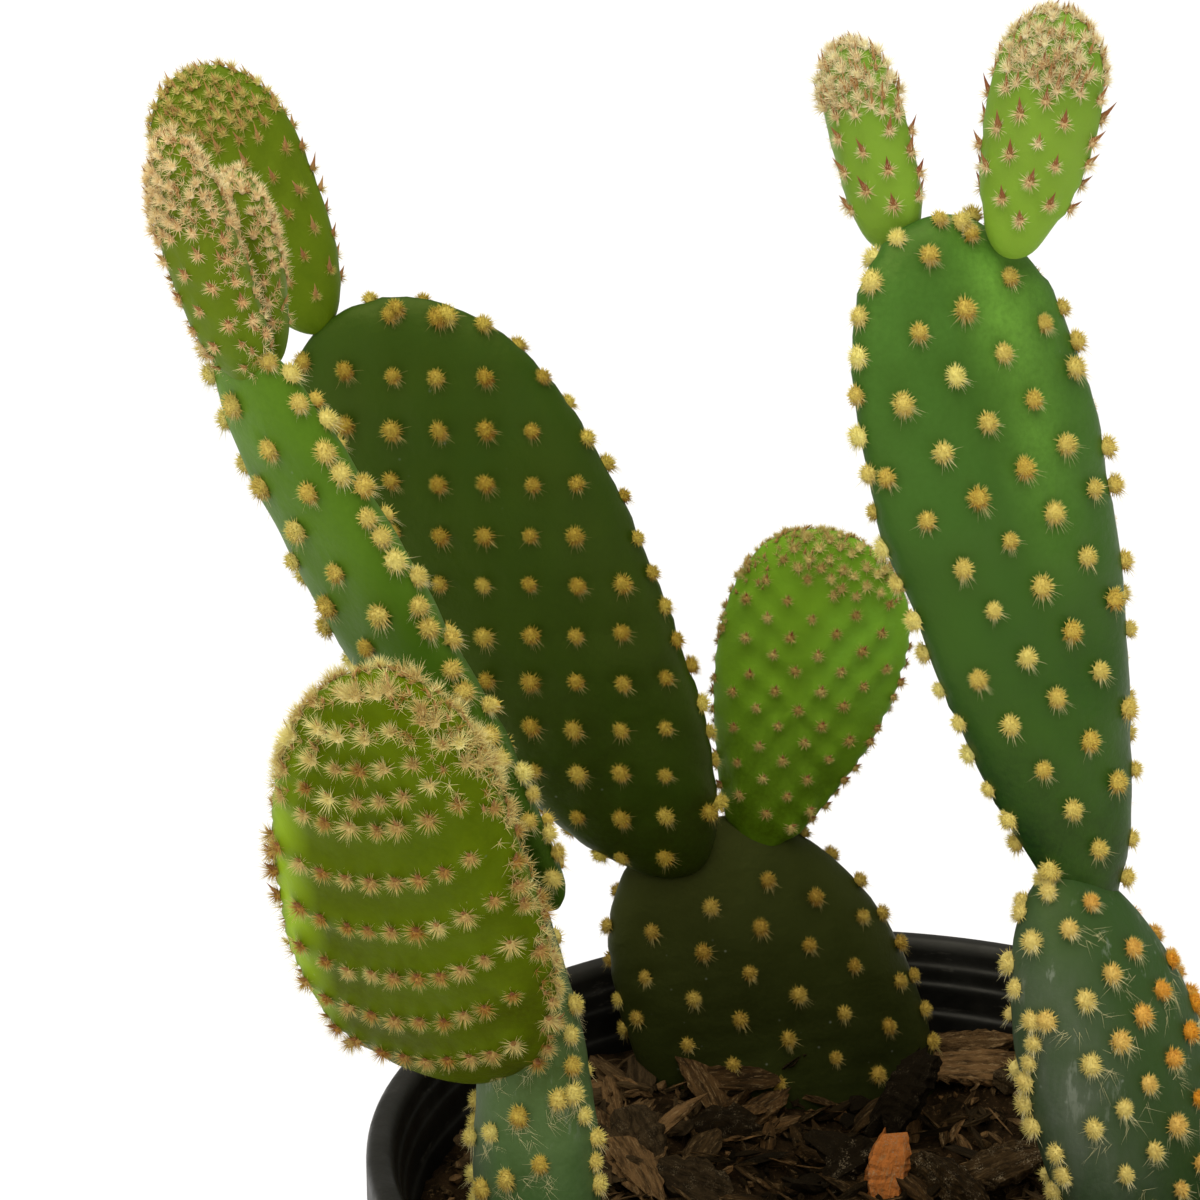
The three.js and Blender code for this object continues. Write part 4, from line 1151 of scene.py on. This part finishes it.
def chip_shape(rng, long, wide, thick, rings, sides, ragged):
    """A splintered bark chip: a flattened ragged bar, ridged along its grain, with broken ends."""
    rows = []
    twist = rng.normal(0, 0.35)
    bow = rng.normal(0, 0.12)
    ridges = rng.uniform(1 - 2 * ragged, 1 + ragged, sides)
    ends = rng.uniform(-1, 1, (2, sides)) * long * ragged
    narrow = rng.uniform(0.3, 0.75)
    square = circle(sides, math.pi / 4)
    square = square / np.max(np.abs(square), axis=1, keepdims=True) ** 0.7
    for r in range(rings):
        t = r / (rings - 1)
        taper = 1 - narrow * abs(2 * t - 1) ** 2.5
        spin = twist * (t - 0.5)
        jitter = ridges * rng.uniform(1 - ragged, 1 + ragged, sides)
        y = square[:, 0] * wide / 2 * taper * jitter
        z = square[:, 1] * thick / 2 * taper * jitter + bow * long * (t - 0.5) ** 2
        x = (t - 0.5) * long + ends[0] * (1 - t) ** 3 + ends[1] * t ** 3
        rows.append(np.stack([x, y * math.cos(spin) - z * math.sin(spin),
                              y * math.sin(spin) + z * math.cos(spin)], 1))
    faces = cap(0, sides) + flipped(cap((rings - 1) * sides, sides)) + bands(0, sides, rings)
    return np.concatenate(rows), np.array(faces)


def turned(points, yaw, pitch, roll):
    """Points turned by roll about x, then by pitch about y, then by yaw about z."""
    cy, sy = math.cos(yaw), math.sin(yaw)
    cp, sp = math.cos(pitch), math.sin(pitch)
    cr, sr = math.cos(roll), math.sin(roll)
    roll_by = np.array([[1, 0, 0], [0, cr, -sr], [0, sr, cr]])
    pitch_by = np.array([[cp, 0, sp], [0, 1, 0], [-sp, 0, cp]])
    yaw_by = np.array([[cy, -sy, 0], [sy, cy, 0], [0, 0, 1]])
    return points @ (yaw_by @ pitch_by @ roll_by).T


def painted_light_at(x):
    """Share of painted light on a chip: 0 in the painted shade of the middle of the pot, 1 at its sides."""
    return float(np.clip((abs(x - SHADE_X) - SHADE_REACH) / SHADE_REACH, 0, 1))


def add_chip(pile, rng, size, place, turns, tone, crust, rings, sides, ragged):
    """One chip: size is long, wide, thick and place is its centre."""
    points, faces = chip_shape(rng, *size, rings, sides, ragged)
    grain = points + rng.uniform(-400, 400, 3)
    points = turned(points, *turns) + place
    # Share of painted light and shade: a fixed share for fresh chips, otherwise by place from left to right.
    dry = FRESH_PAINTED_LIGHT if tone > FRESH_TONE else painted_light_at(place[0])
    pile.add(points[None], faces, grain=grain, tone=tone, grit=crust, dry=dry)


def scatter(pile, rng, count, longs, ratios, flats, rings, sides, lift, tilt, tones, crust, ragged):
    """Loose bits all over the top of the mix, drawn from one row of LOOSE_BITS."""
    for _ in range(count):
        long = rng.uniform(*longs)
        wide = long * rng.uniform(*ratios)
        thick = wide * rng.uniform(*flats)
        reach = math.sqrt(rng.uniform()) * (BITS_EDGE - long * 0.4)
        bearing = rng.uniform(0, 2 * math.pi)
        x, y = reach * math.cos(bearing), reach * math.sin(bearing)
        place = [x, y, soil_level(x, y) + rng.uniform(*lift)]
        turns = (rng.uniform(0, 2 * math.pi), rng.normal(0, tilt), rng.normal(0, tilt))
        tone = np.clip(rng.choice(tones) + rng.uniform(-0.08, 0.08), 0, 1)
        add_chip(pile, rng, (long, wide, thick), place, turns, tone, crust, rings, sides, ragged)


def bark_mesh(material):
    """Crumbs, slivers, chips and gritty lumps over the whole top of the mix."""
    rng = np.random.default_rng(11)
    pile = Pile("tone", "grit", "dry", "grain")
    for row in LOOSE_BITS:
        scatter(pile, rng, *row)
    for size, place, turns, tone, crust in NOTED_CHIPS:
        add_chip(pile, rng, size, place, turns, tone, crust, 18, 12, 0.07 if tone > FRESH_TONE else 0.13)
    return pile.build("mix_bark", material)


# Build everything

def dress(piece, node):
    """Puts a finer piece in the place of a CAD node."""
    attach(piece, "root")
    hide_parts(node)


for number, pad in enumerate(PADS):
    for key, value in PAD_DEFAULTS.items():
        pad.setdefault(key, value)
    pad["seed"] = FIRST_SEED + number
    pad["half"] = half_width(pad)
    pad["axes"] = pad_axes(pad)

looks = {kind: {**SKIN_DEFAULTS, **look} for kind, look in SKINS.items()}
skins = {kind: skin_material(kind, look) for kind, look in looks.items()}
tuft_looks = {name: tuft_material(name, *colours) for name, colours in TUFT_COLOURS.items()}
leaf_look = leaf_material()

for pad in PADS:
    sites = pad_sites(pad)
    look = looks[pad["skin"]]
    body = tuft_looks[look["tufts"]]
    pieces = [skin_mesh(pad, sites, skins[pad["skin"]])]
    if "leaf" in pad:
        pieces += young_tufts(pad, sites, body, leaf_look)
    else:
        pieces += grown_tufts(pad, sites, body, tuft_looks[look["hairs"]])
    for piece in pieces:
        dress(piece, pad["name"])

dress(pot_mesh(pot_material()), "pot")
dress(soil_mesh(soil_material()), "potting_mix")
dress(bark_mesh(bark_material()), "potting_mix")


# Floor and light

def backdrop():
    """A plain pale floor under the pot."""
    g = Look("studio_paper", PAPER, 0.9)
    g.colour = PAPER
    g.coat(g.noise(3, 2), 0.3, 0.7, (0.90, 0.92, 0.98))
    g.finish()
    bpy.ops.mesh.primitive_plane_add(size=60, location=(0, 0, -0.2 * MM))
    floor = bpy.context.object
    floor.name = "studio_floor"
    floor.data.materials.append(g.material)


def studio():
    """A wide soft sky light from above and a weak even surround."""
    world = bpy.data.worlds.new("studio")
    bpy.context.scene.world = world
    world.use_nodes = True
    back = world.node_tree.nodes["Background"]
    back.inputs["Color"].default_value = (1.0, 0.97, 0.90, 1)
    back.inputs["Strength"].default_value = 0.35
    data = bpy.data.lights.new("sky", "SUN")
    data.energy = 3.2
    data.angle = math.radians(75)
    data.color = (1.0, 0.96, 0.88)
    lamp = bpy.data.objects.new("sky", data)
    lamp.rotation_euler = (math.radians(24), math.radians(-10), 0)
    bpy.context.scene.collection.objects.link(lamp)
    bpy.context.scene.view_settings.view_transform = "Standard"


backdrop()
studio()
